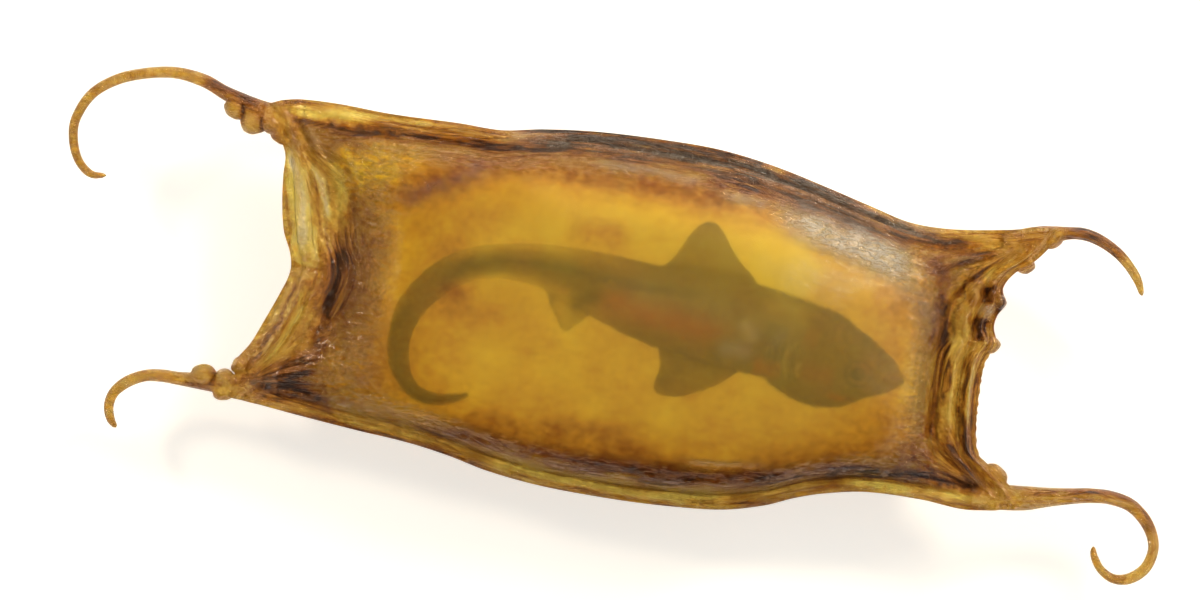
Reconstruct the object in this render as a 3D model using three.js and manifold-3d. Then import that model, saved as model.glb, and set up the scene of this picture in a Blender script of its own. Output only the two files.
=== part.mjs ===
// A shark's egg case, the kind called a mermaid's purse, with the embryo that lies in it.
//
// Millimetres, +Z up. +X runs along the case from its pleated end to its rolled end, +Y across it.
// The case lies flat on its belly. The origin is the centre of the small flat spot it rests on.
//
// Two solids: the case, which is a hollow leathery skin grown in one piece with its flanges and its
// four curled horns, and the embryo lying loose in the hollow.

import * as THREE from 'three';
import { mergeVertices } from 'three/addons/utils/BufferGeometryUtils.js';
import Module from 'manifold-3d';

// ---- driving dimensions ----------------------------------------------------------------------

const MID_HEIGHT = 8.6; // height of the seam where the two skins of the case meet
const BODY_HALF_DEPTH = 8; // how far the inflated body stands out from the flange, each way
const RIM_HALF_DEPTH = 0.55; // half the thickness at the free edge of flanges and lips
const SKIN_HALF_DEPTH = 0.8; // half the thickness of the flange a little way in from its edge
const SKIN_RISE = 1.2; // distance over which the edge reaches that thickness
const WALL = 0.8; // thickness of the skin around the hollow
const UPPER_FLANGE = 3.1; // width of the flange along the +Y side
const LOWER_FLANGE = 2.3; // width of the flange along the -Y side
const RIDGE_HEIGHT = 0.45; // ridges that run along the flanges
const PLEAT_HEIGHT = 1.1; // pleats that run down the two ends
const SLIT = { width: 18, height: 0.45, centreY: -2, innerX: -38, outerX: -60 };
const EDGE_WAVE = 0.5; // how far the flanges waver up and down

// The free edges of the case, seen from above. Long edges give y for x, the two lips give x for y.
const UPPER_EDGE = curveThrough([
  [-58.5, 21.4], [-54, 22.9], [-48, 23.3], [-40, 23.1], [-30, 23.4], [-24, 23.4], [-18, 24.5],
  [-10, 25.4], [0, 25.8], [8, 25.6], [16, 24.5], [24, 22.7], [30, 21.2], [36, 19.8], [42, 19.8],
  [50, 21], [54, 21.9], [58, 22.4],
]);
const LOWER_EDGE = curveThrough([
  [-58.5, -20.6], [-54, -20.9], [-46, -21.7], [-38, -22.4], [-30, -23], [-24, -23.9], [-18, -25.2],
  [-10, -26.1], [0, -26.3], [8, -26], [16, -25.2], [22, -23.6], [26, -21.9], [30, -20.6],
  [36, -19.4], [44, -19.2], [50, -19.6], [54, -19.1], [59, -17.9],
]);
const LEFT_LIP = curveThrough([
  [-20.6, -58.5], [-18, -56.2], [-15.2, -56.1], [-12.5, -54.5], [-9, -53.1], [-5, -51.6],
  [-1.5, -50.6], [1, -51], [4, -52.4], [8, -53.3], [12, -53.8], [15, -54], [17.5, -55.4],
  [21.4, -58.5],
]);
const RIGHT_LIP = curveThrough([
  [-17.9, 59], [-15, 56], [-13.1, 53.4], [-11.5, 51.3], [-8, 50.3], [-3, 49.9], [1, 49.9],
  [2.6, 50.3], [4.5, 51.1], [6.8, 50.3], [8.6, 50.5], [10.4, 51.4], [12.6, 50.7], [15, 52],
  [17, 54.4], [19.6, 56.4], [22.6, 58],
]);

// The creases where the inflated body ends towards each lip, x for y.
const LEFT_CREASE = curveThrough([
  [-22, -56], [-18.5, -53], [-15, -48.6], [-10, -45.6], [-5, -44.6], [0, -44.2], [5, -44.4],
  [10, -45.8], [14, -48.6], [17.5, -53.5], [22, -57],
]);
const RIGHT_CREASE = curveThrough([
  [-20, 54], [-15, 47], [-11, 44], [-5, 43.2], [3, 43], [9, 43.6], [14, 45.6], [18, 51], [22, 56],
]);
const LEFT_SLOPE = 36; // length over which the body rises from the left crease
const RIGHT_SLOPE = 38; // and from the right crease, where it starts out steeper

// The grid of each skin: cells along and across, drawn together near the edges by EDGE_CROWDING.
const SKIN_GRID = { along: 40, across: 24 };
const HOLLOW_GRID = { along: 18, across: 12 };
const EDGE_CROWDING = { along: 0.55, across: 0.72 };
const HOLLOW_REACH = { left: 2.2, right: 1.4, side: 0.9 }; // how far inside the creases it ends
const HOLLOW_EDGE = 0.25; // half the height of the hollow along its own edge

// Horns: points along the middle (x, y, height above the seam), half the width in plan at evenly
// spaced stations, and how deep the section is against its width.
const HORN_SIDES = 8;
const HORNS = [
  {
    middle: [
      [-53, 19.8, 0], [-58, 20.4, 0.1], [-63.6, 22.1, 0.4], [-67, 23.4, 0.9], [-71, 23.9, 1.4],
      [-75.1, 23.2, 1.9], [-79.2, 21.6, 2.2], [-82.5, 18.9, 2.2], [-84.2, 15.1, 1.9],
      [-84.1, 12, 1.4], [-83, 9.3, 0.8], [-81.1, 7.7, 0.3], [-78.9, 7.8, 0],
    ],
    halfWidths: [2.1, 1.6, 1.05, 0.97, 0.85, 0.8, 0.8, 0.78, 0.75, 0.68, 0.62, 0.56, 0.32],
    depth: 0.85,
    steps: 24,
  },
  {
    middle: [
      [-53, -18.9, 0], [-58.5, -19, -0.2], [-63.5, -19.3, -0.5], [-66.5, -19.3, -0.9],
      [-69, -19.7, -1.3], [-71.4, -21, -1.6], [-73, -22.8, -1.7], [-73.4, -24.8, -1.6],
      [-72.8, -26.6, -1.3], [-71.8, -27.7, -0.9],
    ],
    halfWidths: [1.8, 1.5, 1, 0.92, 0.85, 0.85, 0.76, 0.72, 0.62, 0.32],
    depth: 0.85,
    steps: 16,
  },
  {
    middle: [
      [50, 18.6, 0], [54.5, 20.7, 0.2], [58.5, 21.9, 0.5], [61, 22.1, 0.8], [63.4, 21.5, 1],
      [66, 20.2, 1], [68, 18.6, 0.8], [69.6, 16.8, 0.4], [70.6, 14.8, 0],
    ],
    halfWidths: [2, 1.6, 0.95, 0.9, 0.85, 0.78, 0.7, 0.62, 0.32],
    depth: 0.9,
    steps: 15,
  },
  {
    middle: [
      [51, -17.2, 0], [56, -16.9, -0.1], [59, -16.5, -0.2], [62, -15.9, -0.4], [65, -15.3, -0.6],
      [68, -14.75, -0.8], [71, -14.6, -0.9], [74.1, -15.3, -0.8], [76.7, -17.5, -0.5],
      [78, -20.5, 0], [77.3, -23.6, 0.5], [75.2, -25.5, 0.9], [72.9, -25.9, 1.1],
      [70.9, -24.9, 1.1], [69.7, -23.2, 0.9], [69.4, -21.8, 0.6],
    ],
    halfWidths: [1.9, 1.85, 1.75, 1.4, 1.18, 1.08, 1.02, 0.97, 0.92, 0.82, 0.82, 0.8, 0.68, 0.6,
      0.54, 0.32],
    depth: 0.8,
    steps: 28,
  },
];

// Knobs of gathered skin at the roots of the horns and along the ragged right lip: x, y, height
// above the seam, half-length, half-width, half-depth, turn in degrees.
const KNOB_RINGS = 5;
const KNOB_SIDES = 7;
const KNOBS = [
  [-62.1, 20.2, 0.3, 1.7, 1.4, 1.3, -35],
  [-59.3, 18.7, 0.4, 2, 1.8, 1.5, -15],
  [-56.7, 19, 0.9, 1.9, 1.5, 1.4, -35],
  [-55.3, 17.6, 0, 1.7, 1.2, 1.2, -40],
  [-60.5, -18.1, 0.2, 2, 1.5, 1.4, 8],
  [-57.4, -18.1, 0.5, 1.6, 1.3, 1.5, -5],
  [-57.4, -20.1, -0.2, 1.6, 1.35, 1.3, 5],
  [-55.5, -15.9, 0.2, 1.5, 1.2, 1.3, 60],
  [56.6, 20.4, 0.1, 1.6, 1.1, 1.2, 25],
  [53.2, 16.6, 0.2, 1.5, 1.5, 1.4, 10],
  [54.1, -13.9, 0.1, 1.9, 1.2, 1.2, -35],
  [50.3, 10.6, 0.5, 1.2, 1.2, 1.3, 0],
  [50.2, 4.3, 0.5, 1.4, 1.2, 1.3, 20],
];

// The embryo. Stations along its body: x, y, half the depth from back to belly, half the breadth
// from flank to flank. It lies on its side, so the breadth stands upright.
const EMBRYO_STATIONS = [
  [38.7, -2.9, 0.5, 0.7], [37.3, -2.7, 1.8, 2.2], [35.2, -2.4, 3.2, 3.9], [32.5, -2.1, 4.8, 4.9],
  [29.5, -2, 6.3, 5.8], [26.5, -1.5, 7, 6.2], [23.5, -0.6, 6.9, 6], [20.5, 0.5, 6.3, 5.5],
  [17, 0.9, 6.4, 5.3], [12, 1.4, 6.4, 5.2], [6, 1.8, 6.2, 5], [0, 2.5, 5.5, 4.5],
  [-5, 3.5, 4.8, 3.9], [-10, 4.5, 3.9, 3.2], [-15, 5.1, 3.1, 2.6], [-20, 4.9, 2.5, 2.1],
  [-24.2, 4, 2.3, 1.9], [-27.7, 2.1, 2.3, 1.7], [-30.6, -0.7, 2.2, 1.5], [-32.6, -4, 2, 1.35],
  [-33.4, -7.5, 1.75, 1.2], [-33.2, -11, 1.6, 1.1], [-31.7, -14.2, 1.3, 1],
  [-29.4, -15.8, 1.1, 0.9], [-26.8, -16.1, 1, 0.8], [-24.4, -15.5, 0.8, 0.65],
  [-22.4, -14.6, 0.4, 0.35],
];
const EMBRYO_SIDES = 14;
const EMBRYO_STEPS = 34;
const EMBRYO_CLEARANCE = 0.65; // gap left under the upper skin
const TRUNK_LEVEL = 10.4; // height of the middle of the trunk, which lies close under the skin

// Fins: outline in plan, height of the root above the trunk's level, how far the tip lies from that
// level, and thickness.
const FIN_THICKNESS = 1.1;
const FINS = [
  { // the fin that stands up from the back
    outline: [[0.5, 6.5], [3, 9], [5, 13], [6.4, 14.8], [8, 15.3], [9.7, 14.4], [12, 11.3],
      [15.5, 6.5]],
    level: 0.4,
  },
  { // the near pectoral fin, swept back below the trunk
    outline: [[16.5, -4], [13, -7.3], [8.5, -9.8], [5.3, -10.5], [3.6, -10], [3.2, -9],
      [3.7, -6.6], [4.2, -2.5]],
    level: 1.4,
  },
  { // the pelvic fin
    outline: [[-5, 2], [-7.2, -0.8], [-9.4, -3.2], [-10.5, -3.8], [-11.6, -2.6], [-13.5, 0.6],
      [-14, 4]],
    level: 0.2,
  },
];
const EYE = { x: 32, y: -2.7, station: 3, radius: 1.6, bulge: 0.2 }; // station: the head there
const FAR_FIN_SEAT = 0.45; // gap between the far fin's tip and the skin it props the trunk on
const FAR_FIN = { x: 9, y: -3.4, halfLength: 4.6, halfWidth: 3, halfThickness: 0.8, lean: 32 };

// ---- materials -------------------------------------------------------------------------------

const skinMaterial = new THREE.MeshStandardMaterial({
  color: '#b98326', roughness: 0.38, metalness: 0, transparent: true, opacity: 0.8,
});
const embryoMaterial = new THREE.MeshStandardMaterial({
  color: '#7d6238', roughness: 0.6, metalness: 0,
});

// ---- small helpers ---------------------------------------------------------------------------

/** Returns a function that gives a smooth curve through [at, value] pairs. */
function curveThrough(pairs) {
  const places = new Float64Array(pairs.map((pair) => pair[0]));
  const values = new Float64Array(pairs.map((pair) => pair[1]));
  const first = places[0];
  const last = places[places.length - 1];
  const curve = new THREE.CubicInterpolant(places, values, 1);
  return (at) => curve.evaluate(THREE.MathUtils.clamp(at, first, last))[0];
}

/** A ridge across a distance: 1 on its crest, falling smoothly to 0 about two widths away. */
function ridge(distance, crest, width) {
  return Math.exp(-(((distance - crest) / width) ** 2));
}

/** Shares 0..1 out so that steps grow from the ends to the middle. */
function crowdEnds(share, crowding) {
  const eased = 0.5 - 0.5 * Math.cos(Math.PI * share);
  return THREE.MathUtils.lerp(share, eased, crowding);
}

/** Moves every vertex of a geometry by a function of its position. */
function mapVertices(geometry, place) {
  const position = geometry.attributes.position;
  const point = new THREE.Vector3();
  for (let i = 0; i < position.count; i += 1) {
    point.fromBufferAttribute(position, i);
    place(point);
    position.setXYZ(i, point.x, point.y, point.z);
  }
  return geometry;
}

// ---- joining and cutting solids --------------------------------------------------------------

const wasm = await Module();
wasm.setup();

/** Turns a closed three.js geometry into a solid. */
function toSolid(geometry) {
  const bare = geometry.clone();
  bare.deleteAttribute('normal');
  bare.deleteAttribute('uv');
  const merged = mergeVertices(bare, 1e-4);
  return new wasm.Manifold(new wasm.Mesh({
    numProp: 3,
    vertProperties: new Float32Array(merged.attributes.position.array),
    triVerts: new Uint32Array(merged.index.array),
  }));
}

/** Turns a solid back into a three.js geometry. */
function toGeometry(solid) {
  const mesh = solid.getMesh();
  const geometry = new THREE.BufferGeometry();
  geometry.setAttribute('position', new THREE.BufferAttribute(mesh.vertProperties, 3));
  geometry.setIndex(new THREE.BufferAttribute(mesh.triVerts, 1));
  geometry.computeVertexNormals();
  return geometry;
}

/** Joins a list of solids into one. */
function joinAll(solids) {
  return solids.reduce((whole, next) => whole.add(next));
}

// ---- the form of the case --------------------------------------------------------------------

/** Finds the point of the case's plan at shares u (left to right) and v (lower to upper edge). */
function planPoint(u, v) {
  let x = THREE.MathUtils.lerp(-55, 54, u);
  let y = 0;
  for (let pass = 0; pass < 12; pass += 1) {
    y = THREE.MathUtils.lerp(LOWER_EDGE(x), UPPER_EDGE(x), v);
    x = THREE.MathUtils.lerp(LEFT_LIP(y), RIGHT_LIP(y), u);
  }
  return { x, y };
}

/** Height of the inflated body above the flange at a point, each way from the seam. */
function bodyRise(x, y) {
  const upper = UPPER_EDGE(x) - UPPER_FLANGE;
  const lower = LOWER_EDGE(x) + LOWER_FLANGE;
  const offMiddle = Math.abs(y - (upper + lower) / 2) / ((upper - lower) / 2);
  const across = Math.max(0, 1 - offMiddle ** 2.7) ** 0.62;
  const fromLeft = THREE.MathUtils.clamp((x - LEFT_CREASE(y)) / LEFT_SLOPE, 0, 1);
  const fromRight = THREE.MathUtils.clamp((RIGHT_CREASE(y) - x) / RIGHT_SLOPE, 0, 1);
  const left = (1 - (1 - fromLeft) ** 2.2) ** 0.85;
  const right = (1 - (1 - fromRight) ** 3) ** 0.6;
  return BODY_HALF_DEPTH * across * left * right;
}

/** Ridges along the flanges and pleats down the two ends. */
function foldRise(x, y) {
  const fromUpper = UPPER_EDGE(x) - y;
  const fromLower = y - LOWER_EDGE(x);
  const fromLeft = x - LEFT_LIP(y);
  const fromRight = RIGHT_LIP(y) - x;
  const clearOfEnds = THREE.MathUtils.smoothstep(Math.min(fromLeft, fromRight), 1, 7);
  const flange = ridge(fromUpper, 1.9, 0.6) + ridge(fromLower, 1.5, 0.5);
  const leftPleats = ridge(fromLeft, 2.9, 1) + 0.7 * ridge(fromLeft, 5.2, 0.9);
  const rightPleats = ridge(fromRight, 1.9, 0.7) + 0.9 * ridge(fromRight, 4.6, 1);
  return RIDGE_HEIGHT * flange * clearOfEnds + PLEAT_HEIGHT * (leftPleats + rightPleats);
}

/** Height of the seam between the two skins. */
function seamHeight(x, y) {
  const offMiddle = Math.abs(y) / 24;
  return MID_HEIGHT + EDGE_WAVE * offMiddle ** 4 * Math.sin(x / 8.5 + Math.sign(y));
}

/** Half the thickness of the whole case at a point of its plan. */
function halfDepth(x, y) {
  const fromEdge = Math.min(
    UPPER_EDGE(x) - y, y - LOWER_EDGE(x), x - LEFT_LIP(y), RIGHT_LIP(y) - x,
  );
  const skin = THREE.MathUtils.lerp(
    RIM_HALF_DEPTH, SKIN_HALF_DEPTH, THREE.MathUtils.clamp(fromEdge / SKIN_RISE, 0, 1),
  );
  return skin + foldRise(x, y) + bodyRise(x, y);
}

/** The case as a full solid, before it is hollowed. The belly is clipped flat where it rests. */
function caseBody() {
  const box = new THREE.BoxGeometry(1, 1, 1, SKIN_GRID.along, SKIN_GRID.across, 1);
  mapVertices(box, (point) => {
    const side = Math.sign(point.z);
    const { x, y } = planPoint(
      crowdEnds(point.x + 0.5, EDGE_CROWDING.along),
      crowdEnds(point.y + 0.5, EDGE_CROWDING.across),
    );
    point.set(x, y, Math.max(0, seamHeight(x, y) + side * halfDepth(x, y)));
  });
  return toSolid(box);
}

/** The hollow: the body's form drawn in by the skin's thickness. */
function hollow() {
  const box = new THREE.BoxGeometry(1, 1, 1, HOLLOW_GRID.along, HOLLOW_GRID.across, 1);
  mapVertices(box, (point) => {
    const side = Math.sign(point.z);
    const u = crowdEnds(point.x + 0.5, EDGE_CROWDING.along);
    const v = crowdEnds(point.y + 0.5, EDGE_CROWDING.across);
    let x = 0;
    let y = 0;
    for (let pass = 0; pass < 12; pass += 1) {
      y = THREE.MathUtils.lerp(
        LOWER_EDGE(x) + LOWER_FLANGE + HOLLOW_REACH.side,
        UPPER_EDGE(x) - UPPER_FLANGE - HOLLOW_REACH.side, v,
      );
      x = THREE.MathUtils.lerp(
        LEFT_CREASE(y) + HOLLOW_REACH.left, RIGHT_CREASE(y) - HOLLOW_REACH.right, u,
      );
    }
    const depth = Math.max(HOLLOW_EDGE, bodyRise(x, y) + SKIN_HALF_DEPTH - WALL);
    point.set(x, y, Math.max(WALL, seamHeight(x, y) + side * depth));
  });
  return toSolid(box);
}

/** The slit in the left lip through which the pup will leave. It lets the hollow open out. */
function hatchingSlit() {
  const slit = new THREE.BoxGeometry(SLIT.innerX - SLIT.outerX, SLIT.width, SLIT.height);
  slit.translate((SLIT.outerX + SLIT.innerX) / 2, SLIT.centreY, MID_HEIGHT);
  return toSolid(slit);
}

/** Bends a round bar along a curve in space, with its half-width and half-height at each share. */
function bendAlong(curve, sides, steps, halfSizes) {
  const bar = new THREE.CylinderGeometry(1, 1, 1, sides, steps);
  const up = new THREE.Vector3(0, 0, 1);
  return mapVertices(bar, (point) => {
    const share = THREE.MathUtils.clamp(0.5 - point.y, 0, 1);
    const { halfWidth, halfHeight } = halfSizes(share);
    const middle = curve.getPoint(share);
    const ahead = curve.getTangent(share);
    const sideways = new THREE.Vector3().crossVectors(ahead, up).normalize();
    const upright = new THREE.Vector3().crossVectors(sideways, ahead);
    const across = point.x * halfWidth;
    const over = -point.z * halfHeight;
    point.copy(middle).addScaledVector(sideways, across).addScaledVector(upright, over);
  });
}

/** A value read from evenly spaced stations at a share of the whole length. */
function atShare(values, share) {
  const place = share * (values.length - 1);
  const before = Math.min(Math.floor(place), values.length - 2);
  return THREE.MathUtils.lerp(values[before], values[before + 1], place - before);
}

/** One curled horn. */
function horn({ middle, halfWidths, depth, steps }) {
  const points = middle.map(([x, y, lift]) => new THREE.Vector3(x, y, MID_HEIGHT + lift));
  const curve = new THREE.CatmullRomCurve3(points);
  return toSolid(bendAlong(curve, HORN_SIDES, steps, (share) => {
    const halfWidth = atShare(halfWidths, share);
    return { halfWidth, halfHeight: halfWidth * depth };
  }));
}

/** One knob of gathered skin. */
function knob([x, y, lift, halfLength, halfWidth, halfDepthOfKnob, turn]) {
  const ball = new THREE.SphereGeometry(1, KNOB_SIDES, KNOB_RINGS);
  ball.scale(halfLength, halfWidth, halfDepthOfKnob);
  ball.rotateZ(THREE.MathUtils.degToRad(turn));
  ball.translate(x, y, MID_HEIGHT + lift);
  return toSolid(ball);
}

function buildCase() {
  const solids = [caseBody(), ...HORNS.map(horn), ...KNOBS.map(knob)];
  const skin = joinAll(solids).subtract(hollow()).subtract(hatchingSlit());
  const mesh = new THREE.Mesh(toGeometry(skin), skinMaterial);
  mesh.name = 'egg_case';
  return mesh;
}

// ---- the embryo ------------------------------------------------------------------------------

/** Height of the middle of the embryo's body, so that its upper flank lies just under the skin. */
function embryoHeight([x, y, halfDepthOfBody, halfBreadth]) {
  const shoulder = 0.6 * halfDepthOfBody;
  const skin = Math.min(bodyRise(x, y - shoulder), bodyRise(x, y), bodyRise(x, y + shoulder));
  return Math.min(TRUNK_LEVEL, MID_HEIGHT + skin - EMBRYO_CLEARANCE - halfBreadth);
}

/** Head, trunk and tail: one tapering body that curls round at the tail. */
function embryoBody() {
  const curve = new THREE.CatmullRomCurve3(EMBRYO_STATIONS.map(
    (station) => new THREE.Vector3(station[0], station[1], embryoHeight(station)),
  ));
  const depths = EMBRYO_STATIONS.map((station) => station[2]);
  const breadths = EMBRYO_STATIONS.map((station) => station[3]);
  return toSolid(bendAlong(curve, EMBRYO_SIDES, EMBRYO_STEPS, (share) => ({
    halfWidth: atShare(depths, share),
    halfHeight: atShare(breadths, share),
  })));
}

/** A flat fin: its outline extruded through its thickness. */
function fin({ outline, level }) {
  const shape = new THREE.Shape();
  shape.moveTo(...outline[0]);
  shape.splineThru(outline.slice(1).map(([x, y]) => new THREE.Vector2(x, y)));
  const plate = new THREE.ExtrudeGeometry(shape, {
    depth: FIN_THICKNESS, bevelEnabled: false, curveSegments: 2,
  });
  plate.translate(0, 0, TRUNK_LEVEL + level - FIN_THICKNESS / 2);
  return toSolid(plate);
}

/** The far pectoral fin, which props the trunk on the lower skin. */
function farFin() {
  const { x, y, halfLength, halfWidth, halfThickness, lean } = FAR_FIN;
  const plate = new THREE.SphereGeometry(1, 10, 6);
  plate.scale(halfWidth, halfThickness, halfLength);
  plate.rotateY(THREE.MathUtils.degToRad(lean));
  plate.computeBoundingBox();
  plate.translate(x, y, WALL + FAR_FIN_SEAT - plate.boundingBox.min.z);
  return toSolid(plate);
}

/** The two eyes, which stand a little out of the head. */
function eyes() {
  const station = EMBRYO_STATIONS[EYE.station];
  const middle = embryoHeight(station);
  const reach = station[3] + EYE.bulge - EYE.radius;
  return [-1, 1].map((side) => {
    const ball = new THREE.SphereGeometry(EYE.radius, 10, 8);
    return toSolid(ball.translate(EYE.x, EYE.y, middle + side * reach));
  });
}

function buildEmbryo() {
  const solid = joinAll([embryoBody(), ...FINS.map(fin), farFin(), ...eyes()]);
  const mesh = new THREE.Mesh(toGeometry(solid), embryoMaterial);
  mesh.name = 'embryo';
  return mesh;
}

// ---- the whole -------------------------------------------------------------------------------

const group = new THREE.Group();
group.name = 'shark_egg_case';
group.add(buildCase(), buildEmbryo());

export default group;
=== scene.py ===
"""A shark's egg case with its embryo, dressed for rendering.

The case is a leathery, translucent amber purse. Its two skins are one sheet form, drawn out into
flanges, pleated ends and four curled horns. The embryo lies in the hollow, just under the skin.
Lengths in the classes are millimetres; meshes are made in metres, in the frame of the solids.
"""

import logging
import math
from dataclasses import dataclass
from enum import Enum
from typing import Callable, Sequence

import bmesh
import bpy
import numpy as np
from mathutils import Matrix, Vector, noise

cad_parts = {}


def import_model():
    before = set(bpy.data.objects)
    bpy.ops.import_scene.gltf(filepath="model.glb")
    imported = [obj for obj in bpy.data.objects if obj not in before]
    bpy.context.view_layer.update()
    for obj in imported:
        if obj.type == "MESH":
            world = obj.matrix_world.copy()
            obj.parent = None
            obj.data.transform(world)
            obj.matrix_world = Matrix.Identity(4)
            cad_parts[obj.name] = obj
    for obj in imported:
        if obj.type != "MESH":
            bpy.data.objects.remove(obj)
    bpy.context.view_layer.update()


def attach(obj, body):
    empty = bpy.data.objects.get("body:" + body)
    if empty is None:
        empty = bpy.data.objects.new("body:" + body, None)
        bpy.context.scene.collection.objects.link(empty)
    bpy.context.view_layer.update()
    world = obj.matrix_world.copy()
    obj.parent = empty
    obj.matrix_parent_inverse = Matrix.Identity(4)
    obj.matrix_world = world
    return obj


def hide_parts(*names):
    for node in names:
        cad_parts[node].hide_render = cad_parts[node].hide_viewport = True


LOG = logging.getLogger("egg_case")
MM = 0.001

Array = np.ndarray
Pairs = Sequence[tuple[float, float]]


# ---- small helpers --------------------------------------------------------------------------


def linear(hex_colour: str) -> tuple[float, float, float, float]:
    """Turns an sRGB hex colour into linear RGBA.

    Args:
        hex_colour: Six hex digits, such as "c89b2d".

    Returns:
        Linear red, green and blue, and an alpha of 1.
    """
    channels = [int(hex_colour[i:i + 2], 16) / 255 for i in (0, 2, 4)]
    curve = [c / 12.92 if c <= 0.04045 else ((c + 0.055) / 1.055) ** 2.4 for c in channels]
    return curve[0], curve[1], curve[2], 1.0


def smoothstep(value: Array, low: float, high: float) -> Array:
    """Rises smoothly from 0 at low to 1 at high."""
    share = np.clip((value - low) / (high - low), 0.0, 1.0)
    return share * share * (3 - 2 * share)


def bump(distance: Array, crest: float, width: float) -> Array:
    """1 where distance equals crest, falling smoothly to 0 about two widths away."""
    return np.exp(-(((distance - crest) / width) ** 2))


def ripple(x: Array, y: Array, scale_x: float, scale_y: float, seed: float) -> Array:
    """Smooth noise of about -1 to 1 over a plan.

    Args:
        x: Places along, in millimetres.
        y: Places across, in millimetres.
        scale_x: Size of one blotch along.
        scale_y: Size of one blotch across.
        seed: Height at which the noise is cut, so that each use differs.

    Returns:
        One value per place.
    """
    flat = [
        noise.noise(Vector((a / scale_x, b / scale_y, seed)))
        for a, b in zip(np.ravel(x), np.ravel(y))
    ]
    return np.array(flat).reshape(np.shape(x))


class Curve:
    """A smooth curve through (place, value) pairs, level with its neighbours' slopes."""

    def __init__(self, pairs: Pairs) -> None:
        """Works out the slope at each pair.

        Args:
            pairs: Places in rising order, each with its value.
        """
        self.places = np.array([pair[0] for pair in pairs], float)
        self.values = np.array([pair[1] for pair in pairs], float)
        rise = np.diff(self.values) / np.diff(self.places)
        inner = (self.values[2:] - self.values[:-2]) / (self.places[2:] - self.places[:-2])
        self.slopes = np.concatenate([rise[:1], inner, rise[-1:]])

    def __call__(self, at: Array) -> Array:
        """Reads the curve at some places, holding its end values beyond its ends.

        Args:
            at: The places.

        Returns:
            The value at each place.
        """
        at = np.clip(at, self.places[0], self.places[-1])
        k = np.clip(np.searchsorted(self.places, at) - 1, 0, len(self.places) - 2)
        span = self.places[k + 1] - self.places[k]
        t = (at - self.places[k]) / span
        return (
            (2 * t**3 - 3 * t**2 + 1) * self.values[k]
            + (t**3 - 2 * t**2 + t) * span * self.slopes[k]
            + (3 * t**2 - 2 * t**3) * self.values[k + 1]
            + (t**3 - t**2) * span * self.slopes[k + 1]
        )


def distance_to_path(x: Array, y: Array, path: Pairs) -> tuple[Array, Array]:
    """Distance of each place from a path, and how far along the path its nearest point is.

    Args:
        x: Places along.
        y: Places across.
        path: The path's corners.

    Returns:
        The distances, and shares of the path's length from 0 to 1.
    """
    corners = np.array(path, float)
    lengths = np.linalg.norm(np.diff(corners, axis=0), axis=1)
    starts = np.concatenate([[0], np.cumsum(lengths)])
    best = np.full(np.shape(x), 1e9)
    share = np.zeros(np.shape(x))
    for k, length in enumerate(lengths):
        dx, dy = (corners[k + 1] - corners[k]) / length
        along = np.clip((x - corners[k][0]) * dx + (y - corners[k][1]) * dy, 0, length)
        off = np.hypot(x - corners[k][0] - along * dx, y - corners[k][1] - along * dy)
        nearer = off < best
        best = np.where(nearer, off, best)
        share = np.where(nearer, (starts[k] + along) / starts[-1], share)
    return best, share


def crowd_ends(share: Array, crowding: float) -> Array:
    """Shares 0 to 1 out so that steps grow from the ends to the middle."""
    return (1 - crowding) * share + crowding * (0.5 - 0.5 * np.cos(np.pi * share))


def mesh_points(mesh: bpy.types.Mesh) -> Array:
    """Reads all of a mesh's vertices.

    Args:
        mesh: The mesh.

    Returns:
        One row of x, y and z per vertex, in millimetres.
    """
    points = np.empty(len(mesh.vertices) * 3)
    mesh.vertices.foreach_get("co", points)
    return points.reshape(-1, 3) / MM


def place_points(mesh: bpy.types.Mesh, points: Array) -> None:
    """Moves all of a mesh's vertices to places given in millimetres."""
    mesh.vertices.foreach_set("co", (points * MM).ravel())
    mesh.update()


def new_object(name: str, build: bmesh.types.BMesh) -> bpy.types.Object:
    """Makes an object of a bmesh and links it to the scene.

    Args:
        name: Name of the object.
        build: The bmesh, which is used up.

    Returns:
        The object.
    """
    mesh = bpy.data.meshes.new(name)
    build.to_mesh(mesh)
    build.free()
    piece = bpy.data.objects.new(name, mesh)
    bpy.context.collection.objects.link(piece)
    return piece


def settle_modifiers(piece: bpy.types.Object) -> None:
    """Applies all of an object's modifiers to its mesh.

    Args:
        piece: The object.
    """
    graph = bpy.context.evaluated_depsgraph_get()
    settled = bpy.data.meshes.new_from_object(piece.evaluated_get(graph))
    piece.modifiers.clear()
    old = piece.data
    piece.data = settled
    bpy.data.meshes.remove(old)


class Joint(Enum):
    """How one solid meets another."""

    GROWN_ON = "UNION"
    CUT_OUT = "DIFFERENCE"


def combine(piece: bpy.types.Object, tools: Sequence[bpy.types.Object], joint: Joint) -> None:
    """Joins solids to a piece or cuts them from it, and removes them.

    Args:
        piece: The piece that stays.
        tools: The solids that are used up.
        joint: Whether they are grown on or cut out.
    """
    for tool in tools:
        step = piece.modifiers.new(joint.name.title(), "BOOLEAN")
        step.operation = joint.value
        step.object = tool
        step.solver = "MANIFOLD"
    settle_modifiers(piece)
    for tool in tools:
        mesh = tool.data
        bpy.data.objects.remove(tool)
        bpy.data.meshes.remove(mesh)


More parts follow.
